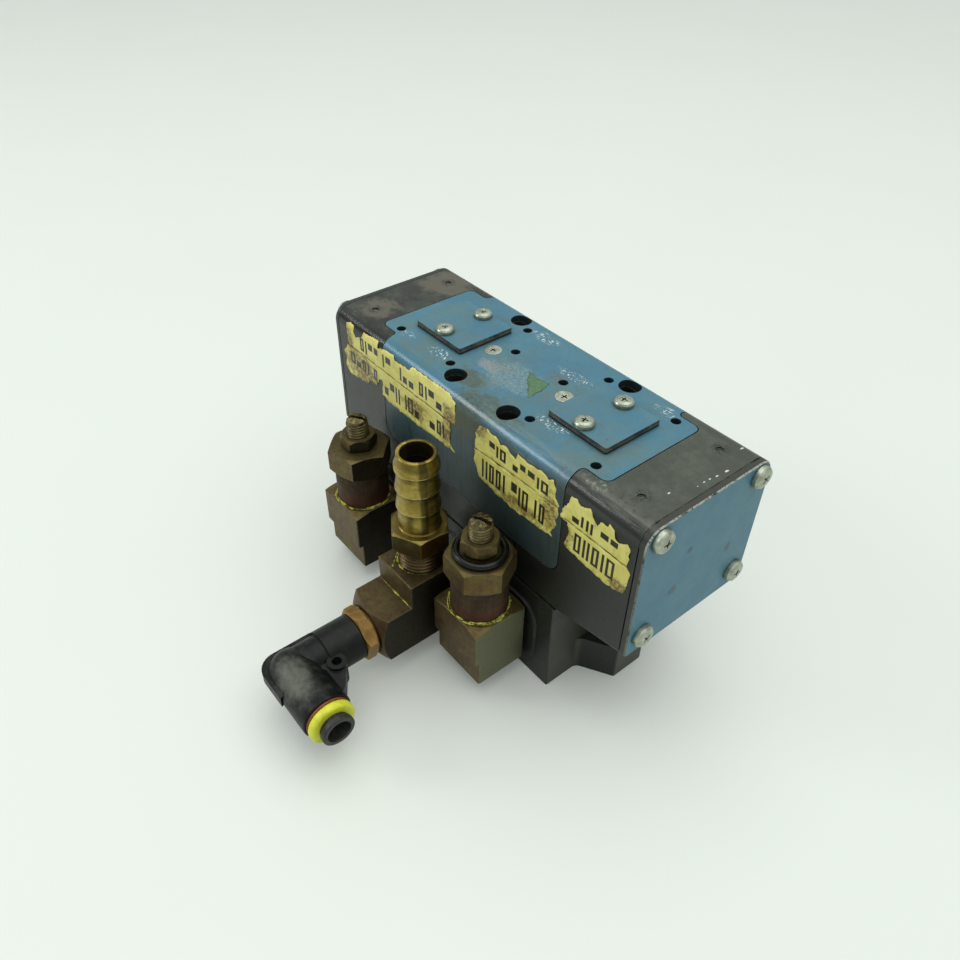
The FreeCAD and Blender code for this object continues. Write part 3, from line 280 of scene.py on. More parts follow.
def black_paint():
    """The castings: cloudy, with a haze on top, brown worn patches, scuffs, hatching, rings, chips and flecks, with
    painted shade on the near side at the ends, painted light on the right face of the sub-base and a painted
    highlight in the scuffs on the rounded edge.
    """
    f = Finish("black_paint", (30, 33, 29))
    f.over((42, 45, 39), f.grain(0.3, 0.75, 24, 4, 0.6))
    f.over((66, 68, 58), f.grain(0.5, 0.9, 1.1, 5, 0.7, shift=3), 0.3)
    upward = f.step(f.faces_z, 0.75, 0.95)
    nearward = f.step(f.faces_y, -0.6, -0.9)
    high = f.step(f.z, 104, 112)
    worn = f.spots(((-65, 18, TOP_Z), (11, 12, 8), 0.3, 1.1, 7), ((-66, -20, TOP_Z), (8, 8, 8), 0.3, 1.1, 6))
    f.over((100, 95, 82), worn, upward, 0.7)
    right_haze = f.times(f.step(f.x, 40, 70), high, 0.3)
    f.over((92, 100, 86), upward, f.scaled(f.grain(0.4, 0.7, 9, 5, 0.7, shift=11), 0.3, right_haze))

    # Painted shade on the near side at both ends, and painted light on the right face of the sub-base
    f.over((18, 18, 12), nearward, f.step(f.x, -30, -55), f.step(f.z, 50, 60), 0.75)
    # Painted light: the right face of the sub-base is made lighter low down
    f.over((70, 70, 54), f.step(f.faces_x, 0.6, 0.9), f.step(f.z, 42, 38), 0.4)
    # Painted shade: the near side at the right end is darkened low down
    f.over((13, 13, 11), nearward, f.step(f.x, 30, 60), f.step(f.z, 96, 74), 0.7)

    # Scuffs and hatching on the rounded edge, partly a painted highlight, and the dark torn line beside it
    rounding = f.times(high, f.step(f.y, -26, -29), f.step(f.faces_z, 0.45, 0.7), f.step(f.faces_z, 0.985, 0.9))
    right_end = f.step(f.x, 62, 80)
    left_end = f.times(f.step(f.x, -52, -62), 0.5)
    # Pale lines along the rounded edge at the ends: scuffs and a painted highlight
    scuff_and_highlight_streaks = f.grain(0.42, 0.66, 1.0, 4, 0.7, (0.06, 1, 1), 7)
    f.over((150, 152, 142), rounding, f.most(right_end, left_end), scuff_and_highlight_streaks, 0.26)
    hatched = f.spots(((77.5, -28.5, TOP_Z), (4.5, 2.2, 3), 0.4, 0.8, 2),
                      ((73.4, -28.6, TOP_Z), (2.6, 1.6, 3), 0.4, 0.8, 2))
    f.over((176, 178, 168), hatched, f.grain(0.5, 0.6, 0.6, 3, 0.7, (0.5, 0.25, 1), 37, 0.6), 0.45)
    torn_edge = f.times(high, right_end, f.step(f.y, -24.5, -26), f.step(f.y, -31, -29))
    f.over((18, 18, 16), torn_edge, f.grain(0.52, 0.6, 1.6, 5, 0.75, shift=15), 0.6)

    # Dark rings on top, worn edges, the row of white chips by the right end, and flecks
    rings = [((x, y, TOP_Z), (3.4, 3.4, 4), 0.35, 0.7, 1.6) for x in (-65.8, 90.8) for y in (-21.6, 18.6)]
    f.over((20, 20, 17), f.spots(*rings), upward, f.grain(0.4, 0.56, 0.9, 3, 0.6, shift=19), 0.65)
    f.over((136, 138, 126), f.rims(0.5), f.grain(0.42, 0.62, 2.2, 4, 0.7, shift=21), high, 0.45)
    f.over((104, 102, 90), f.rims(0.5), f.grain(0.55, 0.75, 3, 4, 0.7, shift=25), 0.4)
    chips = [((x, y, TOP_Z), (size * 0.45, size, 2), 0.25, 0.8, 0.6) for x, y, size in (
        (99.9, 10.9, 0.9), (99.5, 6.1, 0.6), (99, 3, 0.5), (98.8, 0.2, 0.5), (95.2, -13.3, 0.6), (95.2, 25.3, 0.9),
        (104.6, -20.7, 0.6), (98.9, -3.2, 0.3))]
    f.over((206, 210, 200), f.spots(*chips))
    flecks = f.grain(0.74, 0.79, 0.9, 2, 0.5, shift=31)
    f.over((180, 180, 166), flecks, f.grain(0.52, 0.66, 12, 2, 0.5, shift=33), 0.7)

    # The rounded near edge is glossier, with fine lines along it
    rounded = f.times(high, f.step(f.y, -26, -28), f.step(f.faces_z, 0.2, 0.4), f.step(f.faces_z, 0.985, 0.93))
    rough = f.plus(f.scaled(f.noise(5, 4, 0.6, shift=9), 0.26, 0.2), f.times(worn, 0.2))
    rough = f.times(rough, f.scaled(rounded, -0.66, 1.0))
    relief = f.plus(f.times(f.noise(1.3, 3, 0.6), 0.5), f.times(f.noise(0.35, 2, 0.5, shift=5), 0.25))
    relief = f.plus(relief, f.times(rounded, f.noise(0.7, 4, 0.7, (0.07, 1, 1), 39), 0.35))
    return f.close(rough, relief, 0.10, 0.45)


def blue_paint():
    """The cover and the plates: grime, rubbed and rusty patches, scratches, chips, and dark worn edges, with a
    painted highlight on the rounded near edge and painted shade in the corners and holes.
    """
    f = Finish("blue_paint", (58, 112, 136))
    f.over((72, 122, 140), f.grain(0.32, 0.7, 30, 4, 0.6, shift=2))
    upward = f.step(f.faces_z, 0.75, 0.95)
    sideways = f.step(f.faces_z, 0.65, 0.2)
    grime = f.grain(0.36, 0.66, 14, 5, 0.65, shift=6)
    f.over((98, 108, 84), upward, grime, f.scaled(f.step(f.y, 24, -20), 0.3, 0.16))
    f.over((66, 84, 78), upward, f.grain(0.45, 0.7, 2.6, 5, 0.75, shift=87), 0.2)

    # The near side: olive grime with drips, darker low down, and a painted highlight along the rounded edge
    near = f.times(f.step(f.y, -30, -34), f.step(f.x, 96, 90))
    f.over((50, 52, 34), near, sideways, f.scaled(f.step(f.x, -60, 40), 0.28, 0.5))
    f.over((24, 30, 24), near, sideways, f.grain(0.46, 0.68, 2.4, 4, 0.7, (1, 1, 0.09), 14), 0.55)
    f.over((26, 34, 30), near, f.step(f.z, 98, 78), 0.5)
    rubbed = f.spots(((22, -28, 114), (15, 5, 6), 0.4, 1.0, 4), ((1, -23, TOP_Z), (8, 5, 5), 0.4, 1.0, 4, 5),
                     ((13, -32, 108), (9, 6, 9), 0.4, 1.0, 4, 11),
                     ((16.4, -30.3, TOP_Z), (10, 5, 5), 0.4, 1.0, 3, 6),
                     ((24.0, -28.9, TOP_Z), (7, 4, 5), 0.4, 1.0, 3, 7))
    f.over((72, 76, 50), rubbed, f.scaled(f.grain(0.38, 0.62, 1.5, 4, 0.7, shift=97), 0.45, 0.42))
    # Painted highlight: a pale streaky sheen along the rounded near edge
    shine = f.spot((38, -31, 113), (26, 4.5, 4.5), 0.4, 0.7, 5, 8)
    f.over((150, 168, 172), shine, f.grain(0.42, 0.66, 0.9, 4, 0.7, (0.06, 1, 1), 17), 0.24)

    # On top: a pale and a pinkish rubbed patch, scratches, chips and rust
    pale = f.spot((11, -10, TOP_Z), (12, 8, 5), 0.35, 1.0, 4, 9)
    f.over((150, 156, 144), pale, f.grain(0.36, 0.66, 1.2, 5, 0.75, shift=41), 0.6)
    pink = f.spot((-1, -11, TOP_Z), (5, 3, 4), 0.35, 1.1, 2.2, 4)
    f.over((164, 150, 138), pink, f.grain(0.3, 0.6, 1.1, 4, 0.7, shift=47), 0.45)
    strokes = f.most(f.grain(0.62, 0.67, 0.6, 2, 0.5, (0.22, 1, 1), 51),
                     f.grain(0.62, 0.67, 0.6, 2, 0.5, (1, 0.22, 1), 52),
                     f.grain(0.64, 0.68, 0.7, 3, 0.6, (1, 0.7, 1), 51, 1.2))
    scratched = [((x, y, TOP_Z), (long, wide, 3), 0.3, 0.3) for x, y, long, wide in (
        (-20, -21, 6, 3), (-40, -22.5, 4, 2), (-2, 21, 7, 3), (44, -17.5, 7, 3), (64, 21, 5, 2.5),
        (27, 10, 9, 2.5))]
    f.over((226, 232, 226), strokes, f.spots(*scratched))
    chips = f.times(f.grain(0.64, 0.68, 1.3, 4, 0.65, shift=61), f.grain(0.44, 0.6, 16, 2, 0.5, shift=63))
    f.over((66, 60, 44), chips, f.step(f.z, 108, 112), 0.7)
    rusty = f.spots(((65.0, -32.6, TOP_Z), (6, 3, 5), 0.4, 1.0, 3, 5),
                    ((-32.8, -43.8, TOP_Z), (7, 3, 5), 0.4, 1.0, 3, 6),
                    ((22.5, 4.9, TOP_Z), (5, 4, 5), 0.4, 1.0, 3, 7))
    f.over((96, 84, 60), rusty, f.grain(0.44, 0.6, 1.0, 4, 0.7, shift=65), 0.7)

    # Worn edges, painted shade with dirt in the corners, and the dark edges of the small plates
    from_middle = f.off(f.x, HOUSING_X)
    off_end = f.scaled(f.step(from_middle, 89.2, 88.6), 0.8, 0.2)
    f.over((136, 146, 136), f.rims(0.4), f.grain(0.46, 0.64, 2.0, 4, 0.7, shift=71), off_end, 0.42)
    # Painted shade: darker where the surface is shut in, standing also for dirt there
    f.over((34, 36, 28), f.crevices(1.6, 0.4, 0.9), 0.65)
    patches = f.plus(f.noise(4.5, 5, 0.7, shift=77), f.times(f.step(f.z, 117.6, 116.8), 0.1))
    edge_tone = f.mix(f.step(patches, 0.42, 0.66), srgb(38, 35, 27), srgb(98, 90, 70))
    f.lay(edge_tone, f.step(f.z, 116.5, 116.8), f.step(f.faces_z, 0.7, 0.4), 0.9)

    # Painted shade on the walls of the holes and notches in the cover
    walls = f.times(f.step(f.z, 115.95, 115.6), f.step(f.z, 90, 100), sideways, f.step(f.y, -32.6, -31.6),
                    f.step(f.y, 31.0, 30.6), f.step(from_middle, 88.4, 88.0))
    f.over((30, 32, 28), walls, 0.92)

    # The end plates: dark sides with a pale worn line, and smudges on the right one
    across = f.math("ABSOLUTE", f.faces_x)
    end_side = f.times(f.step(from_middle, 88.6, 89.0), f.step(across, 0.93, 0.85))
    f.over((46, 49, 43), end_side)
    worn_line = f.times(end_side, f.step(across, 0.4, 0.6), f.grain(0.36, 0.5, 5, 5, 0.7, shift=91),
                        f.grain(0.34, 0.5, 0.8, 3, 0.6, shift=93))
    f.over((182, 184, 170), worn_line, f.scaled(f.step(f.z, 104, 112), 0.6, 0.25))
    smudges = f.spots(((104.9, -13.5, 77.3), (2, 2.2, 2.2), 0.4, 0.6, 2),
                      ((104.9, 16.2, 80.2), (2, 1.6, 2.4), 0.4, 0.6, 2),
                      ((104.9, -8.4, 94.1), (2, 1.4, 1.4), 0.4, 0.6, 2))
    f.over((48, 62, 66), smudges, 0.6)

    # The rounded near edge is glossier
    rounded = f.times(f.step(f.y, -26, -28), f.step(f.z, 106, 109), f.step(f.faces_z, 0.2, 0.4),
                      f.step(f.faces_z, 0.985, 0.93))
    rough = f.times(f.scaled(f.noise(6, 4, 0.6, shift=9), 0.26, 0.3), f.scaled(rounded, -0.52, 1.0))
    relief = f.plus(f.times(f.noise(1.1, 3, 0.6), 0.45), f.times(f.noise(0.4, 2, 0.5, shift=5), 0.25))
    return f.close(rough, relief, 0.07, 0.35)


def metal(name, bright, dark, crust, shine=0.34, spread=0.25, metallic=0.85, depth=0.12, patch=6.0, dirt=0.55,
          crust_share=0.35, extra=None):
    """A worn, stained metal: brighter where it is handled, dark in its corners from dirt and painted shade, crusted
    in patches.
    """
    f = Finish(name, dark)
    cloud = f.noise(patch, 5, 0.65, shift=len(name))
    f.over(bright, f.step(cloud, 0.3, 0.7))
    crusted = f.grain(0.58, 0.72, patch * 0.45, 5, 0.72, shift=len(name) + 13)
    f.over(crust, crusted, crust_share)
    f.over(dark, f.grain(0.5, 0.85, 0.6, 4, 0.7, shift=5), 0.3)
    polished = tuple(min(1.0, value * 1.7) for value in srgb(*bright)[:3]) + (1,)
    f.lay(polished, f.rims(0.4), f.grain(0.35, 0.6, 1.4, 3, 0.6, shift=17), 0.45)
    if extra:
        extra(f)
    # Painted shade: darkened where the surface is shut in, standing also for dirt in the corners
    corner_dirt_and_shade = tuple(value * 0.25 for value in srgb(*dark)[:3]) + (1,)
    f.lay(corner_dirt_and_shade, f.crevices(2.2), dirt)
    rough = f.plus(f.scaled(cloud, spread, shine), f.times(crusted, 0.18))
    relief = f.plus(f.times(f.noise(0.9, 4, 0.65, shift=8), 0.6), f.times(crusted, 0.3))
    return f.close(rough, relief, depth, 0.35, metallic)


def forged_stains_and_shade(f):
    """The brass fittings: reddish patches, a grey film on the open side and painted shade on the faces in the gaps
    between them.
    """
    to_front = f.step(f.faces_y, -0.5, -0.8)
    f.over((98, 68, 48), f.grain(0.45, 0.66, 7, 5, 0.7, shift=43), f.scaled(to_front, 0.3, 0.25))
    f.over((64, 52, 34), f.grain(0.46, 0.66, 1.6, 4, 0.7, (1, 1, 0.12), 49), f.step(f.faces_z, 0.5, 0.2), 0.3)
    f.over((66, 48, 36), f.grain(0.44, 0.62, 2.4, 5, 0.75, shift=101), 0.5)
    f.over((104, 78, 64), f.grain(0.4, 0.6, 6, 5, 0.7, shift=103), to_front, f.step(f.z, 42, 40), 0.5)
    f.over((112, 106, 54), f.grain(0.52, 0.68, 5, 5, 0.7, shift=105), 0.45)

    # A grey film on the right elbow's open face, and orange patches on the hexagons of the restrictors
    f.over((112, 116, 92), f.step(f.faces_x, 0.6, 0.85), f.step(f.x, 46, 50), f.step(f.z, 42, 41), 0.7)
    on_hexagons = f.times(f.step(f.z, 57, 58.5), f.step(f.z, 69.9, 69.5))
    f.over((118, 84, 34), on_hexagons, f.grain(0.4, 0.72, 4.5, 4, 0.65, shift=57), f.step(f.faces_x, 0.1, 0.5), 0.6)

    # The tee is duller, the stud brighter, and the tops of the hexagons are olive
    on_tee = f.times(f.step(f.off(f.x, SUPPLY_X), 13.5, 13.0), f.step(f.y, -42, -43), f.step(f.z, 48, 47))
    f.over((58, 46, 36), on_tee, f.scaled(f.step(f.faces_z, 0.5, 0.9), 0.3, 0.18))
    f.over((168, 142, 78), f.step(f.y, -85.6, -86.2), 0.4)
    f.over((60, 58, 34), f.step(f.z, 69, 69.3), f.step(f.faces_z, 0.5, 0.9), 0.4)

    # Chips on the right elbow's front edge, and painted shade on the faces in the gaps between the fittings
    f.over((168, 168, 148), f.spots(((56, -63.2, 20), (1.4, 1.2, 1.1), 0.3, 0.9, 0.8),
                                    ((56, -63.2, 13.6), (2.2, 1.8, 1.5), 0.3, 1.0, 0.8, 3)), 0.7)
    f.over((16, 15, 11), f.step(f.faces_x, 0.55, 0.85), f.step(f.x, 34, 30), f.step(f.y, -36, -38), 0.85)


def filter_stains(f):
    """The wound sleeves: reddish at the foot, with upright stains."""
    f.over((40, 32, 20), f.grain(0.42, 0.62, 2.2, 4, 0.7, (1, 1, 0.15), 45), 0.4)
    f.over((92, 42, 28), f.step(f.z, 51, 43), f.scaled(f.noise(3, 4, 0.6), 0.6, 0.2))


def barb_stains(f):
    """The hose tail: painted reflections as upright dark stripes, painted shade and highlights at the ridges, a
    dark hex, a dark reddish thread foot and painted shade in the bore.
    """
    turn = f.math("ARCTAN2", f.minus(f.y, TEE_Y), f.minus(f.x, SUPPLY_X))
    turn = f.plus(turn, f.scaled(f.noise(5, 3, 0.6, (1, 1, 0.3), 53), 0.3, -0.15))

    def turned_past(start, full):
        return f.step(turn, math.radians(start), math.radians(full))

    tail = f.step(f.z, 66.8, 67.4)
    f.over((88, 74, 38), f.grain(0.42, 0.66, 1.6, 4, 0.7, (0.3, 0.3, 1), 59), tail, 0.4)
    # Painted reflections: dark upright stripes at fixed turns about the tail
    painted_reflection_band = f.times(turned_past(-36, -26), turned_past(-4, -13))
    f.over((48, 38, 16), f.most(f.times(painted_reflection_band, 0.78), f.times(turned_past(6, 22), 0.62)), tail)
    # Painted shade below each ridge and a painted highlight on its crest
    for ridge in TAIL_RIDGES:
        f.over((58, 48, 22), f.step(f.z, ridge - 4.2, ridge - 1.6), f.step(f.z, ridge - 0.05, ridge - 0.4), 0.45)
        crest = f.times(f.step(f.z, ridge - 0.1, ridge + 0.1), f.step(f.z, ridge + 0.7, ridge + 0.35))
        f.over((196, 182, 120), crest, f.grain(0.36, 0.5, 1.1, 3, 0.6, shift=ridge), 0.6)
    f.over((64, 62, 36), f.step(f.z, 98.4, 99.4), f.step(f.z, 101.9, 101.5), 0.4)

    # The hexagon, the thread under it, and painted shade in the bore
    f.over((84, 72, 42), f.step(f.z, 67.6, 67.2), f.step(f.z, 62, 64), f.step(f.faces_z, 0.2, 0.4), 0.7)
    hex_tone = f.mix(turned_past(-36, -32), srgb(68, 62, 44), srgb(78, 46, 20))
    f.lay(hex_tone, f.step(f.z, 66.6, 66.2), f.step(f.faces_z, 0.35, 0.2), f.step(f.z, 57.4, 57.7), 0.85)
    f.over((58, 44, 38), f.step(f.z, 57.6, 57.3), 0.9)
    # Painted shade inside the bore
    squares = (f.math("POWER", f.off(f.x, SUPPLY_X), 2.0), f.math("POWER", f.off(f.y, TEE_Y), 2.0))
    reach = f.math("SQRT", f.plus(*squares))
    f.over((54, 50, 34), f.step(reach, 6.6, 6.4), f.step(f.z, 102.7, 102.3), 0.7)


def plastic(name, colour, dust, rough=0.34, depth=0.05, extra=None, specular=0.32):
    """Plastic or rubber with dust in clouds, in specks, along its edges and on top."""
    f = Finish(name, colour)
    f.over(dust, f.grain(0.45, 0.75, 8, 4, 0.6, shift=len(name)), 0.35)
    f.over(dust, f.grain(0.66, 0.74, 0.7, 3, 0.6, shift=23), 0.3)
    f.over(dust, f.rims(0.3), 0.3)
    f.over(dust, f.grain(0.44, 0.68, 5, 5, 0.7, shift=29), f.step(f.faces_z, 0.3, 0.8), 0.5)
    if extra:
        extra(f)
    shine = f.scaled(f.noise(3, 4, 0.6, shift=2), 0.2, rough - 0.1)
    relief = f.plus(f.times(f.noise(1.5, 3, 0.6), 0.5), f.times(f.noise(0.3, 2, 0.5), 0.2))
    f.shader.inputs["Specular IOR Level"].default_value = specular
    return f.close(shine, relief, depth, 0.3)


def elbow_wear(f):
    """The push-in elbow: a dark arm and a pale patch on top of its leg, partly dust and partly a painted highlight.
    """
    f.over((22, 24, 23), f.step(f.y, -114, -108), 0.6)
    # The pale patch on the leg: dust haze and a painted highlight
    haze = f.spot((22, -125, 31), (10, 6, 7), 0.5, 0.7, 4)
    haze = f.times(haze, f.scaled(f.noise(1.8, 4, 0.7, shift=3), 0.6, 0.3))
    f.over((124, 128, 116), haze, 0.75)


# Stains on the tape, each as x, z, half its width and height, softness, raggedness, grain and shift
TAPE_STAINS = (
    (-61, 93, 13, 8, 0.4, 1.2, 4, 0), (-69, 104, 3, 6, 0.4, 1.0, 4, 0), (-20, 94, 9, 4, 0.45, 1.3, 4, 3),
    (4, 103, 4, 5, 0.4, 1.1, 3, 4), (2, 94, 5, 5, 0.45, 1.2, 4, 5), (22.5, 109, 4, 4, 0.4, 1.1, 3, 6),
    (45, 87, 12, 3, 0.4, 1.3, 4, 7), (62, 95, 4, 9, 0.4, 1.2, 3, 8), (71, 90, 3, 7, 0.4, 1.1, 3, 9),
    (97, 86, 4, 3, 0.4, 1.1, 3, 10))


def tape_material():
    f = Finish("pale_yellow_tape", (222, 216, 124))
    cloud = f.noise(10, 4, 0.6, shift=1)
    f.over((206, 196, 100), f.step(cloud, 0.35, 0.7))
    stains = f.spots(*(((x, SIDE_Y, z), (wide, 9, tall), *look) for x, z, wide, tall, *look in TAPE_STAINS))
    f.over((104, 78, 34), stains, f.scaled(f.grain(0.38, 0.6, 1.3, 4, 0.7, shift=29), 0.5, 0.45))
    f.over((150, 126, 66), f.grain(0.52, 0.68, 3.2, 5, 0.7, shift=19), 0.28)
    f.over((120, 104, 60), f.grain(0.63, 0.7, 0.5, 3, 0.6, (1, 1, 0.08), 27, 0.8), 0.4)
    f.over((84, 64, 34), f.grain(0.68, 0.73, 0.8, 3, 0.6, shift=35), 0.5)
    relief = f.plus(f.times(f.noise(2.5, 3, 0.6), 0.6), f.times(f.noise(0.5, 3, 0.6), 0.2))
    return f.close(f.scaled(cloud, 0.2, 0.32), relief, 0.12)


def ink_material():
    f = Finish("tape_ink", (36, 32, 22))
    worn = f.grain(0.60, 0.74, 0.9, 4, 0.7, shift=4)
    f.over((150, 134, 78), worn, 0.55)
    return f.close(f.scaled(worn, 0.2, 0.36), f.noise(1.2, 3), 0.05)


def patch_material():
    f = Finish("green_patch", (76, 110, 72))
    f.over((88, 120, 108), f.grain(0.45, 0.66, 2.0, 5, 0.7, shift=6), 0.75)
    return f.close(0.5, f.noise(1.0, 3), 0.06)


def crust_material():
    f = Finish("green_crust", (196, 198, 84))
    f.over((138, 136, 48), f.grain(0.35, 0.65, 1.2, 4, 0.7))
    # Painted shade in the hollows of the crust
    f.over((78, 70, 34), f.crevices(0.8), 0.4)
    return f.close(0.75, f.noise(0.5, 4, 0.7), 0.2)


def floor_material():
    """A pale table. For the camera it is as pale as the backdrop, with the object's shadow kept."""
    f = Finish("pale_floor", (214, 220, 214))
    f.over((210, 216, 209), f.noise(160, 3, 0.5))
    away = f.math("SQRT", f.plus(f.times(f.x, f.x), f.times(f.y, f.y)))
    path = f.add("ShaderNodeLightPath")
    glow = f.times(path.outputs["Is Camera Ray"], f.scaled(f.step(away, 900, 4200), FLOOR_FAR_GLOW, FLOOR_GLOW))
    f.shader.inputs["Emission Color"].default_value = (0.97, 1.0, 0.97, 1)
    f.join(glow, f.shader.inputs["Emission Strength"])
    return f.close(0.55, f.noise(40, 2), 0.02)


# What metal() and plastic() take after the name, for each slot of the record
METALS = {
    "zinc_steel": ((192, 200, 184), (150, 154, 134), (96, 88, 62), 0.24, 0.2, 0.82, 0.05, 3, 0.95, 0.3),
    "dark_steel": ((84, 80, 72), (46, 42, 36), (96, 74, 48), 0.35),
    "bare_aluminium": ((196, 198, 198), (160, 162, 162), (140, 140, 136), 0.25, 0.15, 1.0, 0.03),
    "ground_steel": ((188, 190, 192), (150, 152, 154), (120, 120, 118), 0.15, 0.12, 1.0, 0.02),
    "aged_brass": ((116, 104, 60), (88, 75, 40), (98, 98, 54), 0.36, 0.22, 0.7, 0.12, 10, 0.55, 0.35,
                   forged_stains_and_shade),
    "yellow_brass": ((188, 168, 88), (138, 118, 52), (84, 64, 32), 0.22, 0.22, 0.9, 0.07, 8, 0.6, 0.35,
                     barb_stains),
    "brown_bronze": ((84, 66, 44), (58, 42, 28), (96, 88, 46), 0.42, 0.22, 0.6, 0.15, 6, 0.55, 0.35, filter_stains),
    "dark_brass": ((118, 108, 72), (66, 58, 38), (126, 118, 66), 0.28, 0.22, 0.78, 0.1, 4.5),
    "orange_brass": ((168, 132, 72), (126, 100, 54), (90, 66, 36), 0.3, 0.22, 0.78, 0.1, 5),
}
PLASTICS = {
    "black_rubber": ((26, 27, 24), (62, 58, 46), 0.6, 0.08),
    "black_plastic": ((12, 14, 14), (64, 68, 60), 0.42),
    "dark_plastic": ((38, 40, 38), (82, 82, 72), 0.42),
    "orange_plastic": ((130, 76, 42), (84, 56, 32), 0.4),
    "yellow_plastic": ((220, 224, 62), (140, 132, 54), 0.34),
}


def make_materials():
    """Dress every CAD node by its slot, and three of them with a look of their own."""
    made = {"black_paint": black_paint(), "blue_paint": blue_paint()}
    for name, look in METALS.items():
        made[name] = metal(name, *look)
    for name, look in PLASTICS.items():
        made[name] = plastic(name, *look)
    for part in frame["record"]["subparts"]:
        dress(NODES[part["node"]], made[part["material_slot"]])
    dress(NODES["right_lock_ring"], plastic("gloss_rubber", (13, 14, 14), (38, 38, 32), 0.26, 0.02))
    screw = metal("cover_screw", (208, 214, 200), (168, 172, 152), (110, 102, 76), 0.24, 0.2, 0.8, 0.05, 3, 0.9,
                  0.3)
    dress(NODES["cover_screws"], screw)
    dress(NODES["swivel_elbow"], plastic("elbow_plastic", (13, 15, 15), (60, 64, 58), 0.4, 0.05, elbow_wear, 0.2))
    return made


def dress(thing, *materials):
    faces = thing.data.polygons
    kept = [0] * len(faces)
    faces.foreach_get("material_index", kept)
    thing.data.materials.clear()
    for material in materials:
        thing.data.materials.append(material)
    if len(materials) > 1:
        faces.foreach_set("material_index", kept)


# Pieces

def smooth(mesh, angle):
    mesh.shade_smooth()
    mesh.set_sharp_from_angle(angle=math.radians(angle))


def new_piece(name, mesh, body, materials, angle=30):
    piece = add_object(name, mesh)
    smooth(mesh, angle)
    dress(piece, *materials)
    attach(piece, body)
    return piece


def settle(piece):
    """Make a piece's modifiers part of its mesh."""
    bpy.context.view_layer.update()
    done = bpy.data.meshes.new_from_object(piece.evaluated_get(bpy.context.evaluated_depsgraph_get()))
    piece.modifiers.clear()
    piece.data = done
    return done


def shift(mesh, x, y):
    for vert in mesh.vertices:
        vert.co.x += x * MM
        vert.co.y += y * MM


def turned(name, rings, segments, phase=0.0):
    """A closed turned mesh about Z from (z, radius) rings, where a radius may be a function of angle and z."""
    verts = []
    faces = []
    for z, radius in rings:
        for i in range(segments):
            turn = phase + 2 * math.pi * i / segments
            reach = radius(turn, z) if callable(radius) else radius
            verts.append((reach * math.cos(turn) * MM, reach * math.sin(turn) * MM, z * MM))
    count = len(rings)
    for ring in range(count):
        here, there = ring * segments, (ring + 1) % count * segments
        for i in range(segments):
            j = (i + 1) % segments
            faces.append((here + i, here + j, there + j, there + i))
    return new_mesh(name, verts, faces)


def thread(crest, depth, pitch, z_low, z_high, fade):
    """The radius of a helical thread with rounded crests that dies out at both ends."""
    def radius(turn, z):
        phase = (z / pitch - turn / (2 * math.pi)) % 1.0
        wave = 0.5 + 0.5 * math.cos(2 * math.pi * phase)
        wave = min(1.0, max(0.0, wave * 1.25 - 0.12))
        near = min(1.0, max(0.0, (z - z_low) / fade), max(0.0, (z_high - z) / fade))
        return crest - depth * (1 - wave) * near
    return radius


def hex_radius(flats, low, high, corner):
    """The radius of a hexagonal head with chamfered ends."""
    def radius(turn, z):
        share = (turn - corner + math.pi / 6) % (math.pi / 3) - math.pi / 6
        share = math.pi / 6 - abs(share)
        flat = flats / 2 / math.cos(share)
        from_end = min(z - low, high - z)
        return min(flat, flats / 2 + max(0.0, from_end) * 1.75)
    return radius


def threaded_screw(name, node, body, x, top, angle, materials):
    """An adjusting screw with a real thread and a torn slot, in place of its plain CAD rod."""
    crest, length, steps, sharp = 4.8, 29.5, 150, 40
    rag_height, slot_wide, slot_deep = 3.2, 1.7, 2.9
    low = top - length
    profile = thread(crest, 0.55, 1.4, low, top - 0.9, 0.8)
    rings = [(low, 0.02), (low, 3.6)]
    for i in range(steps + 1):
        rings.append((low + 0.6 + (top - 0.9 - low - 0.6) * i / steps, profile))
    rings += [(top - 0.35, 4.65), (top - 0.08, 4.25), (top, 3.7), (top, 0.02)]
    mesh = turned(name, rings, 72)
    for vert in mesh.vertices:
        reach = math.hypot(vert.co.x, vert.co.y) / MM
        if vert.co.z > (top - rag_height) * MM and reach > 1:
            share = min(1.0, (vert.co.z / MM - top + rag_height) / rag_height)
            turn = math.atan2(vert.co.y, vert.co.x)
            rag = noise.noise(Vector((math.cos(turn) * 1.8, math.sin(turn) * 1.8, angle)))
            fine = noise.noise(Vector((math.cos(turn) * 6, math.sin(turn) * 6, angle + vert.co.z * 900)))
            pull = 1 - share * (0.10 + 0.16 * max(0.0, rag) + 0.10 * abs(fine))
            vert.co.x *= pull
            vert.co.y *= pull
            if fine + rag > -0.6:
                vert.co.z -= share * (0.5 + 1.3 * max(0.0, rag) + 0.5 * fine) * MM
    screw = new_piece(name, mesh, body, materials, sharp)
    cutter_mesh = bpy.data.meshes.new(name + "_slot")
    build = bmesh.new()
    bmesh.ops.create_cube(build, size=1.0)
    for vert in build.verts:
        wide = slot_wide + 0.3 * noise.noise(vert.co * 7)
        vert.co = Vector((vert.co.x * 13, vert.co.y * wide, (vert.co.z + 0.5) * 6 - slot_deep)) * MM
        vert.co = Matrix.Rotation(math.radians(angle), 3, "Z") @ vert.co + Vector((0, 0, top * MM))
    build.to_mesh(cutter_mesh)
    build.free()
    cutter = add_object(name + "_slot", cutter_mesh)
    cut = screw.modifiers.new("slot", "BOOLEAN")
    cut.operation = "DIFFERENCE"
    cut.solver = "EXACT"
    cut.object = cutter
    done = settle(screw)
    bpy.data.objects.remove(cutter)
    shift(done, x, ELBOW_Y)
    smooth(done, sharp)
    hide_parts(node)


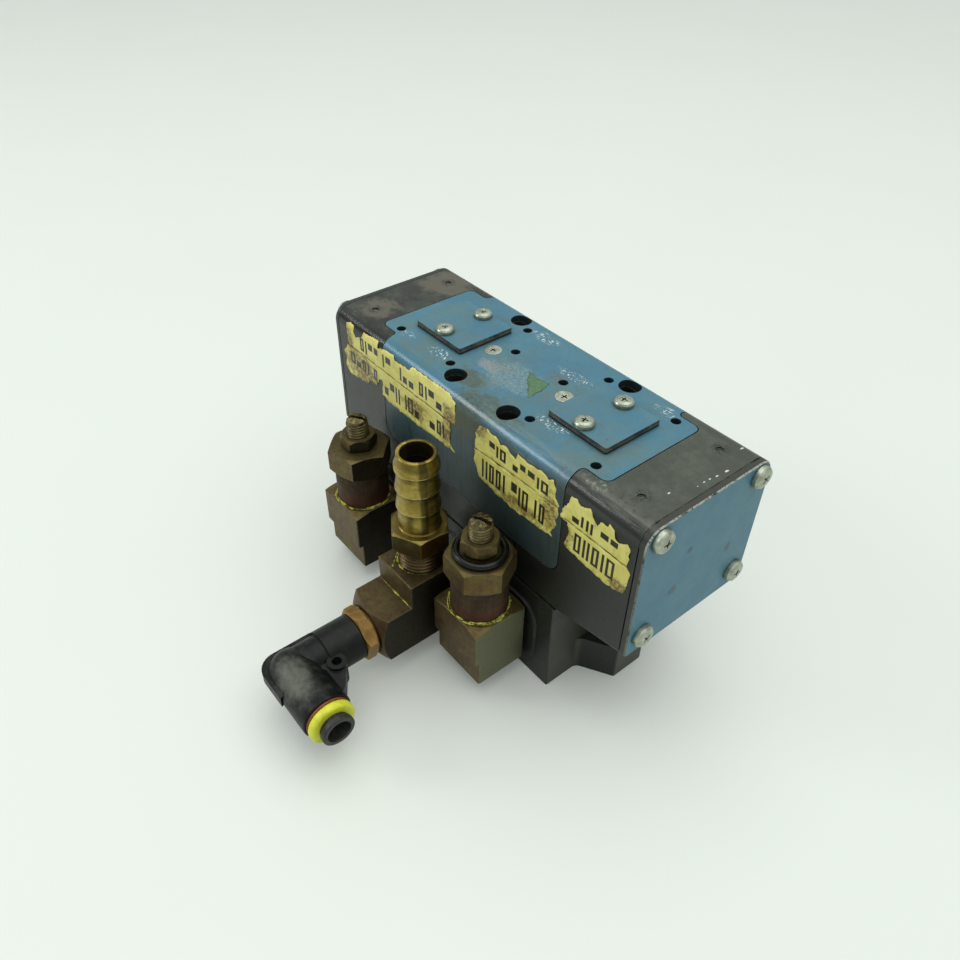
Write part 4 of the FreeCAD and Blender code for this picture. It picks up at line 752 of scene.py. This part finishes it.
def hose_tail(materials):
    """The barb with its exposed thread, hex and ridges, in place of its CAD node."""
    corner, bore, low, steps = math.radians(-34), 6.25, 36.0, 110
    screw = thread(9.4, 0.7, 1.814, low, 57.0, 0.8)
    rings = [(35.5, bore), (35.5, 8.6)]
    for i in range(steps + 1):
        rings.append((low + 21.0 * i / steps, screw))
    rings += [(57.3, 8.7), (TAIL_HEX_LOW, 8.8)]
    head = hex_radius(22.6, TAIL_HEX_LOW, TAIL_HEX_TOP, corner)
    chamfer = (0.0, 0.25, 0.5, 0.8, 1.1)
    rings += [(TAIL_HEX_LOW + z, head) for z in chamfer]
    rings += [(TAIL_HEX_TOP - z, head) for z in reversed(chamfer)]
    rings += [(TAIL_HEX_TOP, 9.0), (TAIL_HEX_TOP + 0.5, 8.5)]
    for ridge in TAIL_RIDGES:
        foot = 8.45 if ridge == TAIL_RIDGES[0] else 8.2
        rings += [(ridge + z, radius) for z, radius in (
            (-1.0, foot), (-0.45, 8.5), (-0.12, 8.95), (0.15, 9.05), (0.5, 9.0))]
        if ridge != TAIL_RIDGES[-1]:
            rings += [(ridge + 2.4, 8.72), (ridge + 4.6, 8.35), (ridge + 6.2, 8.2)]
    for drop, radius in ((5.2, 9.05), (4.6, 8.9), (2.6, 8.05), (1.6, 7.6), (1.2, 7.5), (0.95, 7.6), (0.75, 7.9),
                         (0.3, 7.9), (0.05, 7.6), (0.0, 7.3), (0.0, 6.8), (0.3, 6.45), (1.0, bore)):
        rings.append((TAIL_TIP - drop, radius))
    mesh = turned("hose_tail", rings, 120, corner)
    shift(mesh, SUPPLY_X, TEE_Y)
    piece = new_piece("hose_tail", mesh, "valve", materials, 28)
    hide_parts("hose_barb")


def filter_skin(name, node, x, materials):
    """A filter sleeve with the fine rings of its wound wire."""
    low, high, outer, inner, pitch, margin = ELBOW_TOP, HEX_LOW, 11.8, 8.8, 0.85, 0.3
    rings = [(low, inner), (low, outer - 0.35)]
    wound = high - low - 2 * margin
    steps = int(wound / pitch * 6)
    draw = random.Random(len(name))
    worn = [draw.uniform(0.12, 0.3) for i in range(60)]
    for i in range(steps + 1):
        z = low + margin + wound * i / steps
        wave = abs(math.sin(math.pi * (z - low) / pitch))
        rings.append((z, outer - worn[int((z - low) / pitch)] * (1 - wave)))
    rings += [(high, outer - 0.35), (high, inner)]
    mesh = turned(name, rings, 96)
    shift(mesh, x, ELBOW_Y)
    piece = new_piece(name, mesh, "valve", materials, 60)
    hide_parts(node)


def crust_line(name, path, thick, seed, materials, closed=False, even=0.0):
    """A lumpy bead of corrosion or dirt along a path, which thins out and swells as it goes."""
    verts = []
    faces = []
    section = 9
    count = len(path)
    for i, point in enumerate(path):
        ahead = Vector(path[(i + 1) % count if closed else min(i + 1, count - 1)])
        behind = Vector(path[(i - 1) % count if closed else max(i - 1, 0)])
        along = (ahead - behind).normalized()
        out = along.cross(Vector((0, 0, 1))).normalized()
        up = out.cross(along)
        middle = Vector(point)
        lump = noise.noise(middle / 3.1 + Vector((seed, 0, 0)))
        fine = noise.noise(middle / 0.9 + Vector((0, seed, 0)))
        end = 1.0 if closed else min(1.0, i / 5, (count - 1 - i) / 5)
        swell = thick * end * (even + (1 - even) * max(0.06, 0.42 + 1.5 * lump + 0.7 * fine))
        aside = out * (0.5 * thick * fine) + up * (0.25 * thick * lump)
        for j in range(section):
            lean = 2 * math.pi * j / section
            grain = 1 + 0.5 * noise.noise(middle * 1.7 + Vector((j * 3.1, seed, 0)))
            reach = swell * grain
            around = out * (reach * math.cos(lean)) + up * (0.8 * reach * math.sin(lean))
            verts.append((middle + aside + around) * MM)
    for i in range(count if closed else count - 1):
        for j in range(section):
            a, b = (i + 1) % count, (j + 1) % section
            faces.append((i * section + j, a * section + j, a * section + b, i * section + b))
    if not closed:
        faces.append(list(range(section)))
        faces.append([(count - 1) * section + j for j in reversed(range(section))])
    mesh = new_mesh(name, verts, faces)
    mesh.update()
    new_piece(name, mesh, "valve", materials, 60)


def arc(x, y, z, radius, start, stop, steps, upright=False):
    """Points on an arc about a place, level or upright and square to Y, between two angles in degrees."""
    points = []
    for i in range(steps):
        turn = math.radians(start + (stop - start) * i / steps)
        across, beyond = radius * math.cos(turn), radius * math.sin(turn)
        points.append((x + across, y, z + beyond) if upright else (x + across, y + beyond, z))
    return points


def run(start, stop, steps):
    return [tuple(Vector(start).lerp(Vector(stop), i / (steps - 1))) for i in range(steps)]


def make_crusts(materials):
    """Green corrosion along the joints of the brass fittings."""
    for side, x in SIDES:
        foot = arc(x, ELBOW_Y, ELBOW_TOP + 0.12, 12.05, 0, 360, 380)
        crust_line(side + "_foot_crust", foot, 0.5, x, materials, True)
        specks = arc(x, ELBOW_Y, ELBOW_TOP + 0.08, 12.8, -170, 40, 220)
        crust_line(side + "_foot_specks", specks, 0.34, x + 7, materials)
    spill_z, step_y, step_z = TEE_TOP + 0.1, TEE_FRONT - 0.25, TEE_STEP + 0.15
    spill = (SUPPLY_X - 9.0, TEE_Y - 5.5, spill_z), (SUPPLY_X - 3.0, TEE_FRONT + 1.2, spill_z)
    for name, path, thick, seed in (
            ("barb_foot", arc(SUPPLY_X, TEE_Y, TEE_TOP + 0.12, 9.8, -170, -20, 180), 0.5, 4),
            ("barb_side", arc(SUPPLY_X, TEE_Y, TEE_TOP + 5.5, 9.65, -155, -108, 60), 0.5, 9),
            ("barb_spill", run(*spill, 90), 0.5, 14),
            ("tee_corner", run((4, step_y, step_z), (23.5, step_y, step_z), 190), 0.42, 2),
            ("tee_end", arc(SUPPLY_X, -85.7, SWIVEL_Z, 9.7, 118, 156, 34, True), 0.5, 6)):
        crust_line(name + "_crust", path, thick, seed, materials)


def make_seams(materials):
    """Paint and dirt that fill the narrow groove over each end gasket, up the near side and over the top."""
    sunk, turns, bend_z = 0.45, 16, TOP_Z - EDGE_R
    bend_r = EDGE_R - sunk
    for name, x in (("left", HOUSING_X - SEAM_OFF), ("right", HOUSING_X + SEAM_OFF)):
        path = run((x, SIDE_Y + sunk, 56), (x, SIDE_Y + sunk, bend_z), 60)
        for i in range(1, turns):
            turn = math.radians(90 * i / turns)
            path.append((x, SIDE_Y + EDGE_R - bend_r * math.cos(turn), bend_z + bend_r * math.sin(turn)))
        path += run((x, SIDE_Y + EDGE_R, TOP_Z - sunk), (x, FAR_Y - EDGE_R, TOP_Z - sunk), 70)
        crust_line(name + "_seam_dirt", path, 0.42, x, materials, False, 0.85)


def side_place(x, s, off):
    """A point on the near side, s mm up it and on round the top edge, standing off by off."""
    start = TOP_Z - EDGE_R
    if s <= start:
        return Vector((x, SIDE_Y - off, s)) * MM
    turn = (s - start) / EDGE_R
    reach = EDGE_R + off
    return Vector((x, SIDE_Y + EDGE_R - reach * math.cos(turn), start + reach * math.sin(turn))) * MM


def top_place(x, y, off):
    return Vector((x, y, TOP_Z + off)) * MM


def torn(corners, straight, draw, step=0.9, wander=0.28):
    """The outline with small tears, except along the straight runs that start at the listed corners."""
    points = []
    count = len(corners)
    for i in range(count):
        here, ahead = Vector(corners[i]), Vector(corners[(i + 1) % count])
        side = ahead - here
        pieces = max(1, int(side.length / step))
        across = Vector((-side.y, side.x)).normalized()
        for k in range(pieces):
            point = here + side * (k / pieces)
            if k and i not in straight:
                point += across * draw.uniform(-wander, wander)
            points.append(point)
    return points


def inside(point, outline):
    within = False
    for here, ahead in zip(outline, outline[1:] + outline[:1]):
        if (here.y > point.y) != (ahead.y > point.y):
            if point.x < here.x + (ahead.x - here.x) * (point.y - here.y) / (ahead.y - here.y):
                within = not within
    return within


def film(name, corners, straight, marks, place, seed, materials, thick=0.11, curl=0.5):
    """A thin torn strip laid on a surface, with plain printed marks."""
    grid = 1.5
    draw = random.Random(seed)
    outline = torn(corners, straight, draw)
    points = list(outline)
    faces = [list(range(len(outline)))]
    for x0, x1, y0, y1 in marks:
        start = len(points)
        points += [Vector((x0, y0)), Vector((x1, y0)), Vector((x1, y1)), Vector((x0, y1))]
        faces.append([start, start + 1, start + 2, start + 3])
    low_x, high_x = min(p.x for p in outline), max(p.x for p in outline)
    low_y, high_y = min(p.y for p in outline), max(p.y for p in outline)
    for i in range(int((high_x - low_x) / grid) + 1):
        for j in range(int((high_y - low_y) / grid) + 1):
            x = low_x + (i + draw.uniform(0.3, 0.7)) * grid
            y = low_y + (j + draw.uniform(0.3, 0.7)) * grid
            points.append(Vector((x, y)))
    verts, _, tris = delaunay_2d_cdt(points, [], faces, 0, 1e-5)[:3]
    build = bmesh.new()
    made = []
    for x, y in ((v.x, v.y) for v in verts):
        far = min((Vector((x, y)) - p).length for p in outline)
        lift = 0.12 + 0.10 * noise.noise(Vector((x / 5, y / 5, seed)))
        curled = max(0.0, noise.noise(Vector((x / 3.5, y / 3.5, seed + 9))) * 1.6)
        lift += curl * max(0.0, 1 - far / 1.6) * curled
        made.append(build.verts.new(place(x, y, lift)))
    for tri in tris:
        middle = sum((verts[i] for i in tri), Vector((0, 0))) / 3
        if inside(middle, outline):
            face = build.faces.new([made[i] for i in tri])
            inked = any(x0 < middle.x < x1 and y0 < middle.y < y1 for x0, x1, y0, y1 in marks)
            face.material_index = 1 if inked else 0
    loose = [v for v in build.verts if not v.link_faces]
    bmesh.ops.delete(build, geom=loose, context="VERTS")
    mesh = bpy.data.meshes.new(name)
    build.normal_update()
    build.to_mesh(mesh)
    build.free()
    piece = new_piece(name, mesh, "valve", materials, 50)
    solid = piece.modifiers.new("thickness", "SOLIDIFY")
    solid.thickness = thick * MM
    solid.offset = -1
    settle(piece)


def bars(x0, x1, y0, y1, seed):
    """A row of plain marks in groups, in place of print: posts, blocks and open squares."""
    draw = random.Random(seed)
    tall = y1 - y0
    stroke = 1.15
    marks = []
    x = x0
    left = draw.randint(3, 6)
    while True:
        kind = draw.choice(("post", "post", "low", "high", "square"))
        width = stroke if kind == "post" else draw.choice((2.9, 3.3, 3.7))
        if x + width > x1:
            return marks
        if kind == "post":
            marks.append((x, x + stroke, y0, y1))
        elif kind == "low":
            marks.append((x, x + width, y0, y0 + tall * 0.5))
        elif kind == "high":
            marks.append((x, x + width, y1 - tall * 0.5, y1))
        else:
            marks += [(x, x + stroke, y0, y1), (x + width - stroke, x + width, y0, y1),
                      (x + stroke + 0.01, x + width - stroke - 0.01, y0, y0 + stroke),
                      (x + stroke + 0.01, x + width - stroke - 0.01, y1 - stroke, y1)]
        x += width + draw.choice((0.9, 1.1, 1.3))
        left -= 1
        if left == 0:
            x += 2.6
            left = draw.randint(3, 6)


# Each strip of tape on the near side: its corners, the corners where an untorn run starts, and its rows of marks
TAPES = (
    ("left_tape_upper", (
        (-69.4, 101.2), (-70.7, 111.7), (-68, 112.8), (-65.2, 112.1), (-64.7, 108.6), (-63.3, 107.2),
        (-58.1, 110.4),
        (-57.6, 112.6), (-47, 113.3), (-46, 110.7), (-43.1, 111), (-41.2, 111.8), (-35, 112.4), (-33.1, 110.6),
        (-29.9, 110.7), (-23, 111.1), (-22.2, 113), (2.1, 113.6), (4.7, 112.1), (7.1, 111.6), (7.5, 101.2)),
     (20,), ((-60, -34, 103, 109.4), (-30, 3, 103, 109.4))),
    ("left_tape_lower", (
        (-70.5, 100.8), (-74.2, 95.8), (-73, 93.3), (-73.8, 88.6), (-70.8, 85.8), (-55.7, 87.3), (-54.1, 90.2),
        (-49, 90.1), (-46.1, 95), (-43.7, 95.7), (-44.5, 88), (-39.3, 86.6), (-27.2, 86.6), (-16.4, 86.6),
        (-9.3, 87.2),
        (3.6, 87.9), (7.2, 87.6), (3.6, 90.5), (4.4, 97.5), (4.2, 100.8)),
     (19,), ((-69, -47, 92.6, 98.4), (-42.5, -14, 89.6, 97.4), (-10, 2, 90.5, 97.4))),
    ("middle_tape_upper", (
        (19.5, 98.2), (20.1, 105.9), (22.1, 110.2), (25.7, 110.9), (32.1, 110.3), (34.4, 108.4), (37, 109.7),
        (40.5, 107.8), (42.9, 107.1), (44.1, 110.5), (50.1, 109.5), (54.4, 110.1), (56.8, 110.5), (60.1, 109.5),
        (62.8, 110.8), (64.3, 107.5), (64.1, 103.5), (66.5, 101.2), (66.0, 100.2), (42, 99.5)),
     (18, 19), ((28, 62, 101.5, 106.9),)),
    ("middle_tape_lower", (
        (19.5, 97.8), (42, 99.1), (66, 99.8), (66.4, 96.6), (64.9, 93.7), (66, 91.6), (63.1, 86.4), (64.5, 85),
        (56.8, 84), (43.3, 83), (32.7, 83.8), (21.9, 85.7), (19.6, 92.1)),
     (0, 1), ((24, 62, 86.8, 95.8),)),
    ("right_tape_upper", (
        (68, 97.9), (68, 101.2), (70.8, 105.9), (71.8, 109.6), (74.3, 110), (76.3, 108.3), (80.5, 110.2), (82, 108),
        (83.1, 106.6), (84.7, 105.1), (85.7, 108), (88.7, 108.1), (89.4, 109.9), (91.8, 108.8), (92.8, 106.3),
        (94.6, 105), (97.9, 107.1), (99.2, 105.9), (99.4, 100.4), (99.0, 97.9)),
     (19,), ((73, 97, 99.4, 104.4),)),
    ("right_tape_lower", (
        (68.1, 97.5), (98.9, 97.5), (101.1, 95.6), (100.2, 87.8), (99.4, 84.7), (90.9, 83.3), (78.9, 84.3),
        (73.3, 85.2),
        (70.6, 86.7), (72.3, 93.4), (71.2, 97.2)),
     (0,), ((75, 98, 86.6, 95.2),)),
)
GREEN_PATCH = ((13, -1.4), (18.5, -2.3), (24, -0.9), (25.5, -6), (26, -13.8), (21, -9.5), (17, -6.2))


def make_films(tape, ink, patch):
    """The torn tape on the near side and the green patch on top."""
    row_seed = 0
    for seed, (name, corners, straight, rows) in enumerate(TAPES, 11):
        marks = []
        for row in rows:
            row_seed += 1
            marks += bars(*row, row_seed)
        film(name, corners, straight, marks, side_place, seed, (tape, ink))
    film("green_patch", GREEN_PATCH, (), [], top_place, 21, (patch,), 0.05, 0.0)


def make_floor():
    corners = [(x * FLOOR_REACH, y * FLOOR_REACH, -FLOOR_DROP) for x, y in ((-1, -1), (1, -1), (1, 1), (-1, 1))]
    mesh = new_mesh("floor", corners, [(0, 1, 2, 3)])
    floor = add_object("floor", mesh)
    mesh.materials.append(floor_material())


bpy.context.scene.view_settings.view_transform = "Standard"
make_camera()
make_world()
area_light("overhead", (0.15, 0.15, 1.7), (0, 0, 0.05), 2.4, 19.0, (1.0, 1.0, 0.98))
area_light("window", (-0.9, -1.0, 0.78), (0, 0, 0.08), 0.5, 4.2, (1.0, 1.0, 1.0))
looks = make_materials()
for side, x, top, angle in (("left", LEFT_X, LEFT_SCREW_TOP, 35), ("right", RIGHT_X, RIGHT_SCREW_TOP, 24)):
    needle = side + "_needle"
    threaded_screw(needle + "_screw", side + "_adjusting_screw", needle, x, top, angle, [looks["dark_brass"]])
hose_tail([looks["yellow_brass"]])
for side, x in SIDES:
    filter_skin(side + "_filter_skin", side + "_filter_sleeve", x, [looks["brown_bronze"]])
make_crusts([crust_material()])
make_seams([looks["black_paint"]])
make_films(tape_material(), ink_material(), patch_material())
make_floor()
